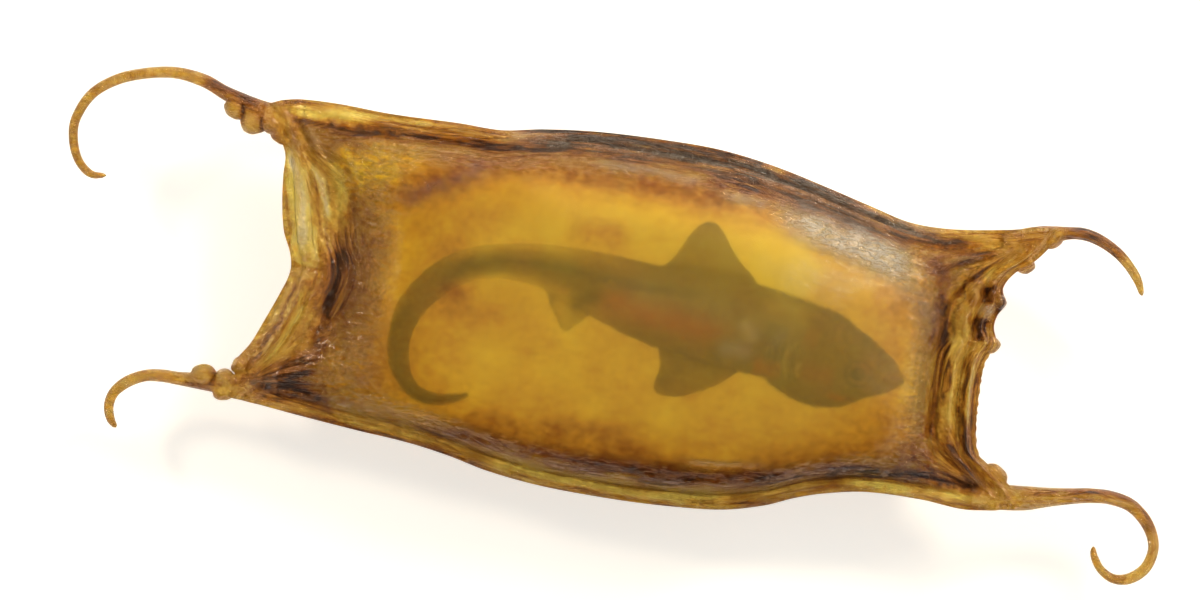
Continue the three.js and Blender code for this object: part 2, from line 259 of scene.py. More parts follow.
def flat_block(name: str, along: int, across: int, rim_cuts: int) -> bpy.types.Object:
    """A unit block of fine upper and lower faces, to be bent into a skin.

    Args:
        name: Name of the object.
        along: Cells along X.
        across: Cells along Y.
        rim_cuts: Extra rows of vertices up the rim.

    Returns:
        The block, 1 mm each way about its middle, with z from -1 to 1 mm.
    """
    build = bmesh.new()
    bmesh.ops.create_grid(build, x_segments=along, y_segments=across, size=0.5 * MM)
    bmesh.ops.translate(build, verts=build.verts, vec=(0, 0, -MM))
    grown = bmesh.ops.extrude_face_region(build, geom=build.faces[:])
    upper = [item for item in grown["geom"] if isinstance(item, bmesh.types.BMVert)]
    bmesh.ops.translate(build, verts=upper, vec=(0, 0, 2 * MM))
    upright = [e for e in build.edges if abs(e.verts[0].co.z - e.verts[1].co.z) > MM]
    bmesh.ops.subdivide_edges(build, edges=upright, cuts=rim_cuts, use_grid_fill=True)
    bmesh.ops.recalc_face_normals(build, faces=build.faces)
    return new_object(name, build)


def straight_bar(name: str, sides: int, steps: int) -> bpy.types.Object:
    """A straight round bar, to be bent along a line.

    Args:
        name: Name of the object.
        sides: Faces round the bar.
        steps: Faces along it.

    Returns:
        The bar, of radius 1 mm along Z from 0 to 1 mm.
    """
    build = bmesh.new()
    bmesh.ops.create_cone(
        build, cap_ends=True, segments=sides, radius1=MM, radius2=MM, depth=MM,
        matrix=Matrix.Translation((0, 0, MM / 2)),
    )
    upright = [e for e in build.edges if abs(e.verts[0].co.z - e.verts[1].co.z) > MM / 2]
    bmesh.ops.subdivide_edges(build, edges=upright, cuts=steps - 1, use_grid_fill=True)
    bmesh.ops.recalc_face_normals(build, faces=build.faces)
    return new_object(name, build)


def ball(
    name: str, segments: int, rings: int, radius: float, placed: Matrix = Matrix.Identity(4)
) -> bpy.types.Object:
    """A ball, which a matrix may stretch, lean and move.

    Args:
        name: Name of the object.
        segments: Faces round it.
        rings: Faces from pole to pole.
        radius: Its radius before the matrix.
        placed: The matrix.

    Returns:
        The ball.
    """
    build = bmesh.new()
    bmesh.ops.create_uvsphere(build, u_segments=segments, v_segments=rings, radius=radius)
    bmesh.ops.transform(build, matrix=placed, verts=build.verts)
    return new_object(name, build)


@dataclass(frozen=True)
class Line:
    """A line in space through points, read by a share of its length in points."""

    points: Array
    look_ahead: float = 0.02

    def place(self, share: Array) -> tuple[Array, Array]:
        """Points on the line and the directions there.

        Args:
            share: 0 at the first point, 1 at the last.

        Returns:
            Places, and unit vectors ahead, one row each.
        """
        last = len(self.points) - 1
        index = np.arange(last + 1, dtype=float)
        curves = [Curve(list(zip(index, self.points[:, axis]))) for axis in range(3)]

        def read(at: Array) -> Array:
            """Points on the line at some numbers of steps along it."""
            return np.stack([curve(at) for curve in curves], axis=1)

        here = share * last
        beyond, before = here + self.look_ahead, here - self.look_ahead
        ahead = read(np.minimum(beyond, last)) - read(np.maximum(before, 0))
        return read(here), ahead / np.linalg.norm(ahead, axis=1, keepdims=True)


def bend_bar(
    piece: bpy.types.Object, line: Line, sizes: Callable[[Array, Array], tuple[Array, Array]]
) -> None:
    """Bends a straight bar along a line.

    Args:
        piece: A bar from straight_bar.
        line: The line its middle follows.
        sizes: Gives half-widths and half-heights for shares of the length and angles round.
    """
    points = mesh_points(piece.data)
    share = np.clip(points[:, 2], 0, 1)
    angle = np.arctan2(points[:, 1], points[:, 0])
    middle, ahead = line.place(share)
    sideways = np.cross(ahead, (0.0, 0.0, 1.0))
    sideways /= np.linalg.norm(sideways, axis=1, keepdims=True)
    upright = np.cross(sideways, ahead)
    half_width, half_height = sizes(share, angle)
    placed = (
        middle
        + sideways * (points[:, 0] * half_width)[:, None]
        + upright * (points[:, 1] * half_height)[:, None]
    )
    place_points(piece.data, placed)
    face_outwards(piece)


def face_outwards(piece: bpy.types.Object) -> None:
    """Turns all faces of a closed piece outwards.

    Args:
        piece: The piece.
    """
    build = bmesh.new()
    build.from_mesh(piece.data)
    bmesh.ops.recalc_face_normals(build, faces=build.faces)
    build.to_mesh(piece.data)
    build.free()


def set_attribute(mesh: bpy.types.Mesh, name: str, values: Array) -> None:
    """Stores one number or one vector per vertex for the materials to read.

    Args:
        mesh: The mesh.
        name: Name that the material reads.
        values: One row per vertex.
    """
    kind, field = ("FLOAT", "value") if values.ndim == 1 else ("FLOAT_VECTOR", "vector")
    layer = mesh.attributes.new(name, kind, "POINT")
    layer.data.foreach_set(field, np.asarray(values, np.float32).ravel())


def dress(piece: bpy.types.Object, material: bpy.types.Material) -> None:
    """Gives a piece its one material and shades all of its faces smoothly.

    Args:
        piece: The piece.
        material: The material.
    """
    faces = piece.data.polygons
    piece.data.materials.clear()
    piece.data.materials.append(material)
    faces.foreach_set("material_index", [0] * len(faces))
    faces.foreach_set("use_smooth", [True] * len(faces))
    piece.data.update()


# ---- material nodes -------------------------------------------------------------------------


class Tree:
    """The nodes of a material or of the world."""

    def __init__(self, owner: bpy.types.Material | bpy.types.World) -> None:
        """Starts an empty tree.

        Args:
            owner: The material or world that the nodes belong to.
        """
        owner.use_nodes = True
        self.nodes = owner.node_tree.nodes
        self.links = owner.node_tree.links
        self.nodes.clear()

    def add(
        self, kind: str, sockets: dict | None = None, output: int | str = 0, **settings: object
    ) -> bpy.types.NodeSocket | None:
        """Adds a node.

        Args:
            kind: The node's type without "ShaderNode".
            sockets: Input names or numbers, each with a plain value or an output to link.
            output: Name or number of the output that is wanted.
            **settings: Properties of the node itself. The places and colours of a colour
                ramp are given as stops.

        Returns:
            The wanted output, or None where the node has no output.
        """
        node = self.nodes.new("ShaderNode" + kind)
        for place, colour in settings.pop("stops", ()):
            ramp = node.color_ramp.elements
            stop = ramp[0] if place == 0 else ramp[-1] if place == 1 else ramp.new(place)
            stop.color = linear(colour)
        for key, value in settings.items():
            setattr(node, key, value)
        for key, value in (sockets or {}).items():
            if isinstance(value, bpy.types.NodeSocket):
                self.links.new(value, node.inputs[key])
            else:
                node.inputs[key].default_value = value
        return node.outputs[output] if node.outputs else None


# ---- the form of the case -------------------------------------------------------------------


@dataclass(frozen=True)
class Stroke:
    """A soft stroke along a path: a ridge or groove of the skin, or a mark in its colour."""

    path: Pairs
    half_width: float
    strength: float
    fade: float = 0.25

    def weight(self, x: Array, y: Array) -> Array:
        """Strength of the stroke, faded at its ends and its sides.

        Args:
            x: Places along.
            y: Places across.

        Returns:
            The strength at each place.
        """
        distance, share = distance_to_path(x, y, self.path)
        ends = smoothstep(share, 0.0, self.fade) * (1 - smoothstep(share, 1 - self.fade, 1.0))
        return self.strength * bump(distance, 0.0, self.half_width) * ends


@dataclass(frozen=True)
class CaseForm:
    """The sheet form of the case: its plan, its swelling and its folds, in millimetres."""

    mid_height: float = 8.6
    body_half_depth: float = 7.93
    rim_half_depth: float = 0.5
    skin_half_depth: float = 0.8
    skin_rise: float = 1.2
    wall: float = 0.75
    upper_flange: float = 3.1
    lower_flange: float = 2.3
    left_slope: float = 36.0
    right_slope: float = 38.0
    pleat_height: float = 1.1
    edge_wave: float = 0.5
    wave_length: float = 8.5
    wave_breadth: float = 24.0
    settling_rounds: int = 12
    # Powers of the swelling: how flat it stays in the middle, and how steeply it leaves its edge.
    across_shape: tuple[float, float] = (2.7, 0.62)
    left_shape: tuple[float, float] = (2.2, 0.85)
    right_shape: tuple[float, float] = (3, 0.6)
    skin_power: float = 0.7
    # Broad pleats of each end: share of the height, distance from the lip, and width.
    left_pleats: tuple[tuple[float, float, float], ...] = ((1.0, 2.9, 1.0), (0.7, 5.2, 0.9))
    right_pleats: tuple[tuple[float, float, float], ...] = ((1.0, 1.9, 0.7), (0.9, 4.6, 1.0))
    # Gathered fibres: share of the height, length, width, and where the noise is cut.
    strand_sizes: tuple[tuple[float, float, float, float], ...] = (
        (1.0, 9.0, 0.6, 3.1), (0.6, 5.0, 0.3, 7.7),
    )
    nibble_depth: float = 0.22
    nibble_pitch: float = 1.35
    nibbled: tuple[float, float] = (-12.0, 3.5)
    corners: Pairs = ((-53.5, 18.0), (-54.5, -18.2), (51.2, 18.2), (52.6, -16.4))
    fan_reach: float = 15.0
    fan_inset: float = 2.6
    upper_edge: Curve = Curve([
        (-58.5, 21.4), (-54, 22.9), (-48, 23.3), (-40, 23.1), (-30, 23.4), (-24, 23.4),
        (-18, 24.5), (-10, 25.4), (0, 25.75), (8, 25.6), (16, 24.5), (24, 22.7), (30, 21.2),
        (36, 19.8), (42, 19.8), (50, 21), (54, 21.9), (58, 22.4),
    ])
    lower_edge: Curve = Curve([
        (-58.5, -20.6), (-54, -20.9), (-46, -21.7), (-38, -22.4), (-30, -23), (-24, -23.9),
        (-18, -25.2), (-10, -26.1), (0, -26.3), (8, -26), (16, -25.2), (22, -23.6), (26, -21.9),
        (30, -20.6), (36, -19.4), (44, -19.2), (50, -19.6), (54, -19.1), (59, -17.9),
    ])
    left_lip: Curve = Curve([
        (-20.6, -58.5), (-18, -56.2), (-15.2, -56.1), (-12.5, -54.5), (-9, -53.1), (-5, -51.6),
        (-1.5, -50.6), (1, -51), (4, -52.4), (8, -53.3), (12, -53.8), (15, -54),
        (17.5, -55.4), (21.4, -58.5),
    ])
    right_lip: Curve = Curve([
        (-17.9, 59), (-15, 56), (-13.1, 53.4), (-11.5, 51.3), (-8, 50.3), (-3, 49.9),
        (1, 49.9), (2.6, 50.3), (4.5, 51.1), (6.8, 50.3), (8.6, 50.5), (10.4, 51.4),
        (12.6, 50.7), (15, 52), (17, 54.4), (19.6, 56.4), (22.6, 58),
    ])
    left_crease: Curve = Curve([
        (-22, -56), (-18.5, -53), (-15, -48.6), (-10, -45.6), (-5, -44.6), (0, -44.2),
        (5, -44.4), (10, -45.8), (14, -48.6), (17.5, -53.5), (22, -57),
    ])
    right_crease: Curve = Curve([
        (-20, 54), (-15, 47), (-11, 44), (-5, 43.2), (3, 43), (9, 43.6), (14, 45.6),
        (18, 51), (22, 56),
    ])
    folds: tuple[Stroke, ...] = (
        # The bright pleats that run down the left collar from its two corners.
        Stroke([(-54.5, 18), (-52.6, 15.5), (-51, 12), (-49.8, 8.5), (-48.9, 5), (-48.4, 1)],
             0.8, 0.8),
        Stroke([(-52.5, 16.5), (-49.5, 13), (-47.6, 10.5), (-46.6, 8)], 0.45, 0.5),
        Stroke([(-53, 15), (-52, 11), (-51.2, 7), (-50.2, 3), (-49.4, 0.5)], 0.25, -0.35),
        Stroke([(-51.6, 14.5), (-50, 10), (-48.6, 6), (-47.6, 1)], 0.3, -0.4),
        Stroke([(-50.3, -1.2), (-51.2, -5), (-52.6, -9), (-54.3, -13.5)], 0.35, -0.3),
        Stroke([(-48.3, -2), (-48.8, -6), (-50.3, -10), (-52.3, -14), (-54, -17)], 0.5, 0.6),
        Stroke([(-47.4, -2.5), (-48, -7), (-49.8, -11.5), (-52.4, -15.5)], 0.3, -0.45),
        # The pinch at the waist of the left lip.
        Stroke([(-51, -0.7), (-49, -0.5), (-46.2, -0.6)], 0.4, -0.55),
        # Tension folds that fan out of the corners over the body.
        Stroke([(-53, 17.5), (-49, 15.5), (-45, 12.5), (-42.5, 9)], 0.8, 0.4),
        Stroke([(-51, 17.6), (-45, 15.8), (-40, 13)], 0.7, 0.3),
        Stroke([(-53.5, -18), (-48, -15.8), (-43, -13)], 1.0, 0.4),
        Stroke([(-52, -18.5), (-44, -17.6), (-36, -16.6)], 0.6, -0.35),
        Stroke([(52, 18.3), (47, 17), (43, 15.2), (40.5, 13)], 0.5, 0.45),
        Stroke([(52, 17.6), (48, 15.6), (45, 13.2), (43.2, 10)], 0.45, 0.4),
        Stroke([(51.5, 18.6), (46, 17.6), (40, 16.6), (34, 16.8)], 0.35, -0.35),
        Stroke([(52.5, -15.6), (47, -14.6), (42, -12.5)], 0.6, 0.4),
        Stroke([(54, -16.6), (48, -16), (41, -15.8), (34, -16.6)], 0.5, -0.45),
        # The rolled ridge and the creases of the right end.
        Stroke([(49.5, 16.5), (47.2, 12), (46, 7), (45.5, 1), (45.6, -5), (46.6, -10), (50, -14)],
             0.8, 0.75),
        Stroke([(51, 15.5), (48.7, 12), (47.4, 8), (46.9, 3), (46.8, -3), (47.5, -9),
                (50.5, -13.5)],
             0.35, -0.6),
        Stroke([(48.4, 10), (47.9, 4), (47.8, -2), (48.3, -7), (50, -11.8)], 0.5, 0.5),
        Stroke([(49.2, 3), (48.9, -2), (49.2, -8), (50.7, -12)], 0.25, -0.35),
        Stroke([(48.6, 12.8), (48.5, 10.6)], 0.7, -0.9, 0.1),
        Stroke([(48.9, 7.6), (48.9, 5.6)], 0.7, -1.0, 0.1),
        Stroke([(44.4, 12), (43.7, 6), (43.6, 0), (44, -8), (45.6, -13)], 0.35, -0.4),
        # The long creases of the flanges.
        Stroke([(-56, 20.4), (-48, 20), (-40, 19.8), (-30, 20.5), (-20, 21.8)], 0.4, -0.45, 0.12),
        Stroke([(-32, 20.9), (-20, 22.4), (-10, 23.6), (0, 24), (10, 23.7), (20, 22), (30, 19.4),
              (38, 18.3), (46, 18.5), (52, 19.6)], 0.3, -0.4, 0.08),
        Stroke([(-22, 23.1), (-10, 24.5), (0, 24.9), (10, 24.6), (20, 22.9), (30, 20.3),
              (38, 19.1)], 0.22, 0.22, 0.1),
        Stroke([(-24, 20.8), (-10, 22.4), (0, 22.7), (10, 22.4), (20, 20.7), (30, 18.2)],
             0.3, 0.25, 0.1),
        Stroke([(-56, 21.6), (-50, 21.9), (-42, 21.5), (-34, 21.6)], 0.35, 0.35, 0.15),
        Stroke([(-50, -20.6), (-40, -21.1), (-30, -21.8), (-22, -22.9), (-12, -24.2), (0, -24.6),
              (12, -24.1), (22, -22)], 0.35, -0.45, 0.1),
        Stroke([(26, -19.6), (34, -17.9), (44, -17.6), (52, -17.6), (58, -17.2)], 0.3, -0.4, 0.1),
        Stroke([(-30, -20), (-15, -22.2), (0, -22.9), (14, -21.9), (26, -19.2)], 0.5, 0.3, 0.15),
    )

    def plan(self, u: Array, v: Array) -> tuple[Array, Array]:
        """Places of the plan, settled between its four curved edges.

        Args:
            u: Shares from the left lip to the right lip.
            v: Shares from the lower to the upper edge.

        Returns:
            Places along and across.
        """
        rough_start, rough_length = -55, 109
        x = rough_start + rough_length * u
        y = np.zeros_like(u)
        for _ in range(self.settling_rounds):
            y = (1 - v) * self.lower_edge(x) + v * self.upper_edge(x)
            x = (1 - u) * self.left_lip(y) + u * self.right_lip(y)
        low, high = self.nibbled
        worn = smoothstep(y, low - 1, low) * (1 - smoothstep(y, high, high + 1))
        bites = np.abs(np.sin(np.pi * y / self.nibble_pitch + 0.7 * np.sin(y)))
        return x - self.nibble_depth * worn * bites * smoothstep(u, 0.98, 1.0), y

    def hollow_plan(self, u: Array, v: Array) -> tuple[Array, Array]:
        """Places of the hollow's plan, which ends inside the creases and flanges.

        Args:
            u: Shares from its left end to its right end.
            v: Shares from its lower to its upper side.

        Returns:
            Places along and across.
        """
        left_reach, right_reach, side_reach = 2.2, 1.4, 0.9
        x = np.zeros_like(u)
        y = np.zeros_like(u)
        for _ in range(self.settling_rounds):
            low = self.lower_edge(x) + self.lower_flange + side_reach
            high = self.upper_edge(x) - self.upper_flange - side_reach
            y = (1 - v) * low + v * high
            left = self.left_crease(y) + left_reach
            x = (1 - u) * left + u * (self.right_crease(y) - right_reach)
        return x, y

    def edge_distances(self, x: Array, y: Array) -> tuple[Array, Array, Array, Array]:
        """How far each place lies inside each of the four edges.

        Args:
            x: Places along.
            y: Places across.

        Returns:
            Distances to the upper edge, the lower edge, the left lip and the right lip.
        """
        return (
            self.upper_edge(x) - y, y - self.lower_edge(x),
            x - self.left_lip(y), self.right_lip(y) - x,
        )

    def body_rise(self, x: Array, y: Array) -> Array:
        """How far the inflated body stands out from the flange, each way from the seam.

        Args:
            x: Places along.
            y: Places across.

        Returns:
            The rise at each place.
        """
        upper = self.upper_edge(x) - self.upper_flange
        lower = self.lower_edge(x) + self.lower_flange
        off_middle = np.abs(y - (upper + lower) / 2) / ((upper - lower) / 2)
        power, root = self.across_shape
        rise = self.body_half_depth * np.maximum(0, 1 - off_middle**power) ** root
        for inside, slope, (power, root) in (
            (x - self.left_crease(y), self.left_slope, self.left_shape),
            (self.right_crease(y) - x, self.right_slope, self.right_shape),
        ):
            rise = rise * (1 - (1 - np.clip(inside / slope, 0, 1)) ** power) ** root
        return rise

    def pleat_rise(self, x: Array, y: Array) -> Array:
        """The broad pleats down the two ends.

        Args:
            x: Places along.
            y: Places across.

        Returns:
            Their height at each place.
        """
        _, _, from_left, from_right = self.edge_distances(x, y)
        left = sum(share * bump(from_left, at, width) for share, at, width in self.left_pleats)
        right = sum(share * bump(from_right, at, width) for share, at, width in self.right_pleats)
        return self.pleat_height * (left + right)

    def fold_rise(self, x: Array, y: Array) -> Array:
        """All the narrow folds together."""
        return sum(fold.weight(x, y) for fold in self.folds)

    def flow(self, x: Array, y: Array) -> tuple[Array, Array, Array]:
        """Follows the fibres, which run along the edges and lips and fan out of the corners.

        Args:
            x: Places along.
            y: Places across.

        Returns:
            Places along the fibres and across them, and how marked they are, from 0 to 1. The
            marks fade out wherever one way of running meets another.
        """
        to_edges = self.edge_distances(x, y)
        to_side = np.minimum(to_edges[0], to_edges[1])
        to_end = np.minimum(to_edges[2], to_edges[3])
        side_bias, meeting, collar = 0.7, (0.2, 1.6), (4.5, 7.5)
        # The numbers added to places along keep the noise of one field from meeting another's.
        turn = to_end - side_bias * to_side
        along = np.where(turn > 0, x, y + 200)
        across = np.where(turn > 0, to_side, to_end)
        off_collar = 0.15 + 0.85 * smoothstep(to_edges[2], *collar)
        marked = smoothstep(np.abs(turn), *meeting) * off_collar
        for corner_x, corner_y in self.corners:
            radius = np.hypot(x - corner_x, y - corner_y)
            angle = np.arctan2(y - corner_y, x - corner_x)
            inset = np.minimum(to_side, to_end) - self.fan_inset
            inside = np.minimum(inset, self.fan_reach - radius)
            along = np.where(inside > 0, radius + 400, along)
            across = np.where(inside > 0, 0.5 * self.fan_reach * angle, across)
            fan = smoothstep(inside, 0.0, 1.2) * (1 - smoothstep(radius, 6.0, self.fan_reach))
            marked = np.where(inside > 0, fan, marked * smoothstep(-inside, 0.0, 0.8))
        return along, across, marked

    def strands(self, x: Array, y: Array) -> Array:
        """The gathered fibres.

        Args:
            x: Places along.
            y: Places across.

        Returns:
            The height at each place, from about -1 in a groove to 1 on a ridge.
        """
        along, across, marked = self.flow(x, y)
        return marked * sum(
            share * ripple(along, across, length, width, seed)
            for share, length, width, seed in self.strand_sizes
        )

    def seam_height(self, x: Array, y: Array) -> Array:
        """Height of the seam between the two skins."""
        sway = np.sin(x / self.wave_length + np.sign(y))
        return self.mid_height + self.edge_wave * (np.abs(y) / self.wave_breadth) ** 4 * sway

    def skin(self, x: Array, y: Array) -> Array:
        """Half the thickness of the flange, thin at its free edge.

        Args:
            x: Places along.
            y: Places across.

        Returns:
            Half the thickness at each place.
        """
        from_edge = np.minimum.reduce(self.edge_distances(x, y))
        rise = np.clip(from_edge / self.skin_rise, 0, 1) ** self.skin_power
        return self.rim_half_depth + (self.skin_half_depth - self.rim_half_depth) * rise


@dataclass(frozen=True)
class Horn:
    """A curled horn: points along its middle with height over the seam, and half-widths."""

    middle: tuple[tuple[float, float, float], ...]
    half_widths: tuple[float, ...]
    depth: float
    steps: int


@dataclass(frozen=True)
class Knob:
    """A lump of gathered skin at the root of a horn."""

    x: float
    y: float
    lift: float
    half_sizes: tuple[float, float, float]
    turn: float


# ---- finishes -------------------------------------------------------------------------------


@dataclass(frozen=True)
class CaseSkin:
    """Dried collagen skin of an egg case: tough, amber, see-through where it is stretched.

    It was laid down as thin fibres side by side, so its gloss is broken by fine lines and small
    wrinkles, and it goes brown and dense where it is gathered.
    """

    cream: str = "fff2c6"
    honey: str = "fce56a"
    amber: str = "ebc053"
    ochre: str = "ce9632"
    rust: str = "ae651a"
    umber: str = "3c1c06"
    # Colours of painted light: a pale sheen with highlights, and golden glints.
    painted_sheen: str = "f8efdf"
    glint: str = "eaa838"
    roughness: float = 0.2
    ior: float = 1.42
    coat: float = 0.4
    coat_roughness: float = 0.09
    clear_share: float = 0.9
    dense_share: float = 0.45
    # Sizes of the patterns, in millimetres.
    fibre_gap: float = 0.5
    fibre_run: float = 6.0
    crease_gap: float = 1.3
    wrinkle_size: float = 0.9
    wrinkle_run: float = 2.6
    wrinkle_lean: float = -12.0
    mottle_size: float = 1.6
    cloud_size: float = 8.0
    fleck_size: float = 0.75
    fibre_layer: float = 2.0
    crease_layer: float = 5.0
    wrinkle_layer: float = 5.0
    relief_height: float = 0.3
    # Half-widths of creases and wrinkles, as shares of the swing of their noise.
    crease_width: float = 0.035
    wrinkle_width: float = 0.07

    def material(self) -> bpy.types.Material:
        """Makes the material, which reads the vertex attributes of the case.

        They are stain (how brown, with painted shade in creases, hollows and the tail's shadow;
        below nought, cream with painted highlights), the painted sheen (pale and wrinkled, where
        the skin would catch the light), haze (how pale but smooth), milk (how little light it lets
        through), gather (how loose), marked (how clear its fibres are) and fibres (places along and
        across them).

        Returns:
            The material.
        """
        material = bpy.data.materials.new("amber_case_skin")
        tree = Tree(material)
        add = tree.add
        place = add("TexCoord", output="Object")
        stain_and_painted_light, painted_sheen, haze, milk, gather, marked = (
            add("Attribute", attribute_name=name, output="Fac")
            for name in ("stain_and_painted_light", "painted_sheen", "haze", "milk", "gather", "marked")
        )
        fibres = add("Attribute", attribute_name="fibres", output="Vector")
        fibre, swing = (
            add("TexNoise", {
                "Vector": add("Mapping", {
                    "Vector": fibres, "Scale": (1 / run, 1 / gap, 1 / layer)}),
                "Scale": 1.0, "Detail": detail,
            })
            for run, gap, layer, detail in (
                (self.fibre_run, self.fibre_gap, self.fibre_layer, 3.0),
                (2 * self.fibre_run, self.crease_gap, self.crease_layer, 2.0),
            )
        )
        cloud, mottle, fleck = (
            add("TexNoise", {"Vector": place, "Scale": 1 / (size * MM), "Detail": detail,
                             "Roughness": 0.65})
            for size, detail in ((self.cloud_size, 5.0), (self.mottle_size, 5.0),
                                 (self.fleck_size, 3.0))
        )
        # Wrinkles run with the long sides, leaning a little.
        wrinkle_way = add("Mapping", {
            "Vector": place, "Rotation": (0, 0, math.radians(self.wrinkle_lean)),
            "Scale": tuple(1 / (size * MM) for size in (
                self.wrinkle_run, self.wrinkle_size, self.wrinkle_layer)),
        })
        ruffles = add("TexNoise", {"Vector": wrinkle_way, "Scale": 1.0, "Detail": 5.0,
                                   "Roughness": 0.6, "Distortion": 0.4})
        # A crease or a wrinkle runs wherever its noise crosses the middle value.
        crease, wrinkle = (
            add("MapRange", {
                "Value": add("Math", {
                    0: add("Math", {0: swings, 1: 0.5}, operation="SUBTRACT"),
                }, operation="ABSOLUTE"),
                "From Max": width, "To Min": 1.0, "To Max": 0.0,
            })
            for swings, width in ((swing, self.crease_width), (ruffles, self.wrinkle_width))
        )
        crease = add("Math", {0: crease, 1: marked}, operation="MULTIPLY")

        # The stain is deepened by the mottle and along the creases; clouds lie all over.
        grain, combed = (
            add("Math", {0: pattern, 1: 3.0, 2: -0.5}, operation="MULTIPLY_ADD")
            for pattern in (mottle, fibre)
        )
        grain = add("Mix", {0: marked, 2: grain, 3: combed})
        grain = add("Math", {0: crease, 1: 0.75, 2: grain}, operation="MULTIPLY_ADD")
        streaked = add("Math", {0: stain_and_painted_light, 1: grain}, operation="MULTIPLY")
        streaked = add("Math", {0: fleck, 1: 0.18, 2: streaked}, operation="MULTIPLY_ADD")
        # Slack skin is speckled too, least where its fibres are clear.
        unmarked = add("Math", {0: marked, 1: -0.7, 2: 1.0}, operation="MULTIPLY_ADD")
        speck = add("Math", {0: add("Math", {0: fleck, 1: 0.5}, operation="SUBTRACT"),
                             1: add("Math", {0: gather, 1: unmarked}, operation="MULTIPLY")},
                    operation="MULTIPLY")
        depth = streaked
        for pattern, share in ((speck, 1.0), (ruffles, 0.16), (cloud, 0.55)):
            depth = add("Math", {0: pattern, 1: share, 2: depth}, operation="MULTIPLY_ADD")
        depth = add("Math", {0: depth, 1: 0.38}, operation="SUBTRACT", use_clamp=True)
        body = add("ValToRGB", {"Fac": depth}, stops=(
            (0.0, self.honey), (0.25, self.amber), (0.42, self.ochre), (0.6, self.rust),
            (1.0, self.umber),
        ))
        # Cream where the stain falls below nought: thin leaf skin, and painted crest highlights.
        cream_share = add("MapRange", {"Value": stain_and_painted_light, "From Min": -0.12, "From Max": -0.5,
                                 "To Max": 0.9})
        # Painted glints: golden specks of highlight on slack skin, fewest where it is stained.
        flecks = add("MapRange", {"Value": fleck, "From Min": 0.56, "From Max": 0.68,
                                  "To Max": 0.85})
        # Painted sheen: a pale veil broken up by the mottle and wrinkles, over a smooth pale haze.
        sparkle = add("Math", {0: mottle, 1: 1.6, 2: -0.15}, operation="MULTIPLY_ADD")
        sparkle = add("Math", {0: wrinkle, 1: 0.6, 2: sparkle}, operation="MULTIPLY_ADD")
        sheen_and_haze = add("Math", {0: painted_sheen, 1: sparkle, 2: haze}, operation="MULTIPLY_ADD",
                   use_clamp=True)
        unstained = add("Math", {0: 1.0, 1: depth}, operation="SUBTRACT")
        glints = add("Math", {0: add("Math", {0: flecks, 1: gather}, operation="MULTIPLY"),
                              1: unstained}, operation="MULTIPLY")
        for share, shade in ((cream_share, self.cream), (glints, self.glint), (sheen_and_haze, self.painted_sheen)):
            body = add("Mix", {0: share, 6: body, 7: linear(shade)}, output=2, data_type="RGBA")
        dense = add("Math", {0: depth, 1: add("Math", {0: milk, 1: sheen_and_haze}, operation="MAXIMUM")},
                    operation="MAXIMUM")
        clear = add("MapRange", {"Value": dense, "To Min": self.clear_share,
                                 "To Max": self.dense_share})

        # Relief: fibres and creases where marked, small wrinkles where loose and under painted
        # sheen.
        loose = add("Math", {0: gather, 1: add("Math", {0: painted_sheen, 1: 1.5}, operation="MULTIPLY")},
                    operation="ADD")
        ruffle = add("Math", {0: wrinkle, 1: 0.4, 2: mottle}, operation="MULTIPLY_ADD")
        ruffle = add("Math", {0: ruffle, 1: loose}, operation="MULTIPLY")
        ridge = add("Math", {0: fibre, 1: 0.8,
                             2: add("Math", {0: crease, 1: -0.5}, operation="MULTIPLY")},
                    operation="MULTIPLY_ADD")
        ridge = add("Math", {0: marked, 1: ridge}, operation="MULTIPLY")
        grit = add("Math", {0: fleck, 1: 0.12, 2: ridge}, operation="MULTIPLY_ADD")
        relief = add("Math", {0: ruffle, 1: grit}, operation="ADD")
        normal = add("Bump", {"Height": relief, "Strength": 0.9,
                              "Distance": self.relief_height * MM})
        surface = add("BsdfPrincipled", {
            "Base Color": body, "Roughness": self.roughness, "IOR": self.ior,
            "Transmission Weight": clear, "Normal": normal, "Coat Weight": self.coat,
            "Coat Roughness": self.coat_roughness, "Coat Normal": normal,
        })
        add("OutputMaterial", {"Surface": surface})
        return material


@dataclass(frozen=True)
class EmbryoFlesh:
    """Skin of a shark embryo: soft, moist, half see-through, olive brown and reddish.

    In its fluid it hardly bends light, so its index is low and its thin fins fade at their edges.
    """

    back: str = "8e8778"
    flank: str = "aaa08e"
    belly: str = "dc7848"
    gall: str = "9490e8"
    pale: str = "f4eee0"
    dark: str = "2c2c2c"
    roughness: float = 0.45
    ior: float = 1.06
    mottle_size: float = 10 / 7
    grain_size: float = 0.4
    grain_height: float = 0.1

    def material(self) -> bpy.types.Material:
        """Makes the material.

        It reads the vertex attributes blush, blue, light, line and eye, which are marks, and
        sheer, which is how much light the flesh lets through.

        Returns:
            The material.
        """
        material = bpy.data.materials.new("embryo_skin")
        tree = Tree(material)
        add = tree.add
        place = add("TexCoord", output="Object")
        mottle, grain = (
            add("TexNoise", {"Vector": place, "Scale": 1 / (size * MM), "Detail": detail})
            for size, detail in ((self.mottle_size, 4.0), (self.grain_size, 2.0))
        )
        colour = add("Mix", {0: mottle, 6: linear(self.back), 7: linear(self.flank)}, output=2,
                     data_type="RGBA")
        for name, shade in (("blush", self.belly), ("blue", self.gall), ("light", self.pale),
                            ("line", self.dark), ("eye", self.dark)):
            mark = add("Attribute", attribute_name=name, output="Fac")
            colour = add("Mix", {0: mark, 6: colour, 7: linear(shade)}, output=2,
                         data_type="RGBA")
        relief = add("Bump", {"Height": grain, "Strength": 0.3,
                              "Distance": self.grain_height * MM})
        surface = add("BsdfPrincipled", {
            "Base Color": colour, "Roughness": self.roughness, "IOR": self.ior, "Normal": relief,
            "Transmission Weight": add("Attribute", attribute_name="sheer", output="Fac"),
        })
        add("OutputMaterial", {"Surface": surface})
        return material


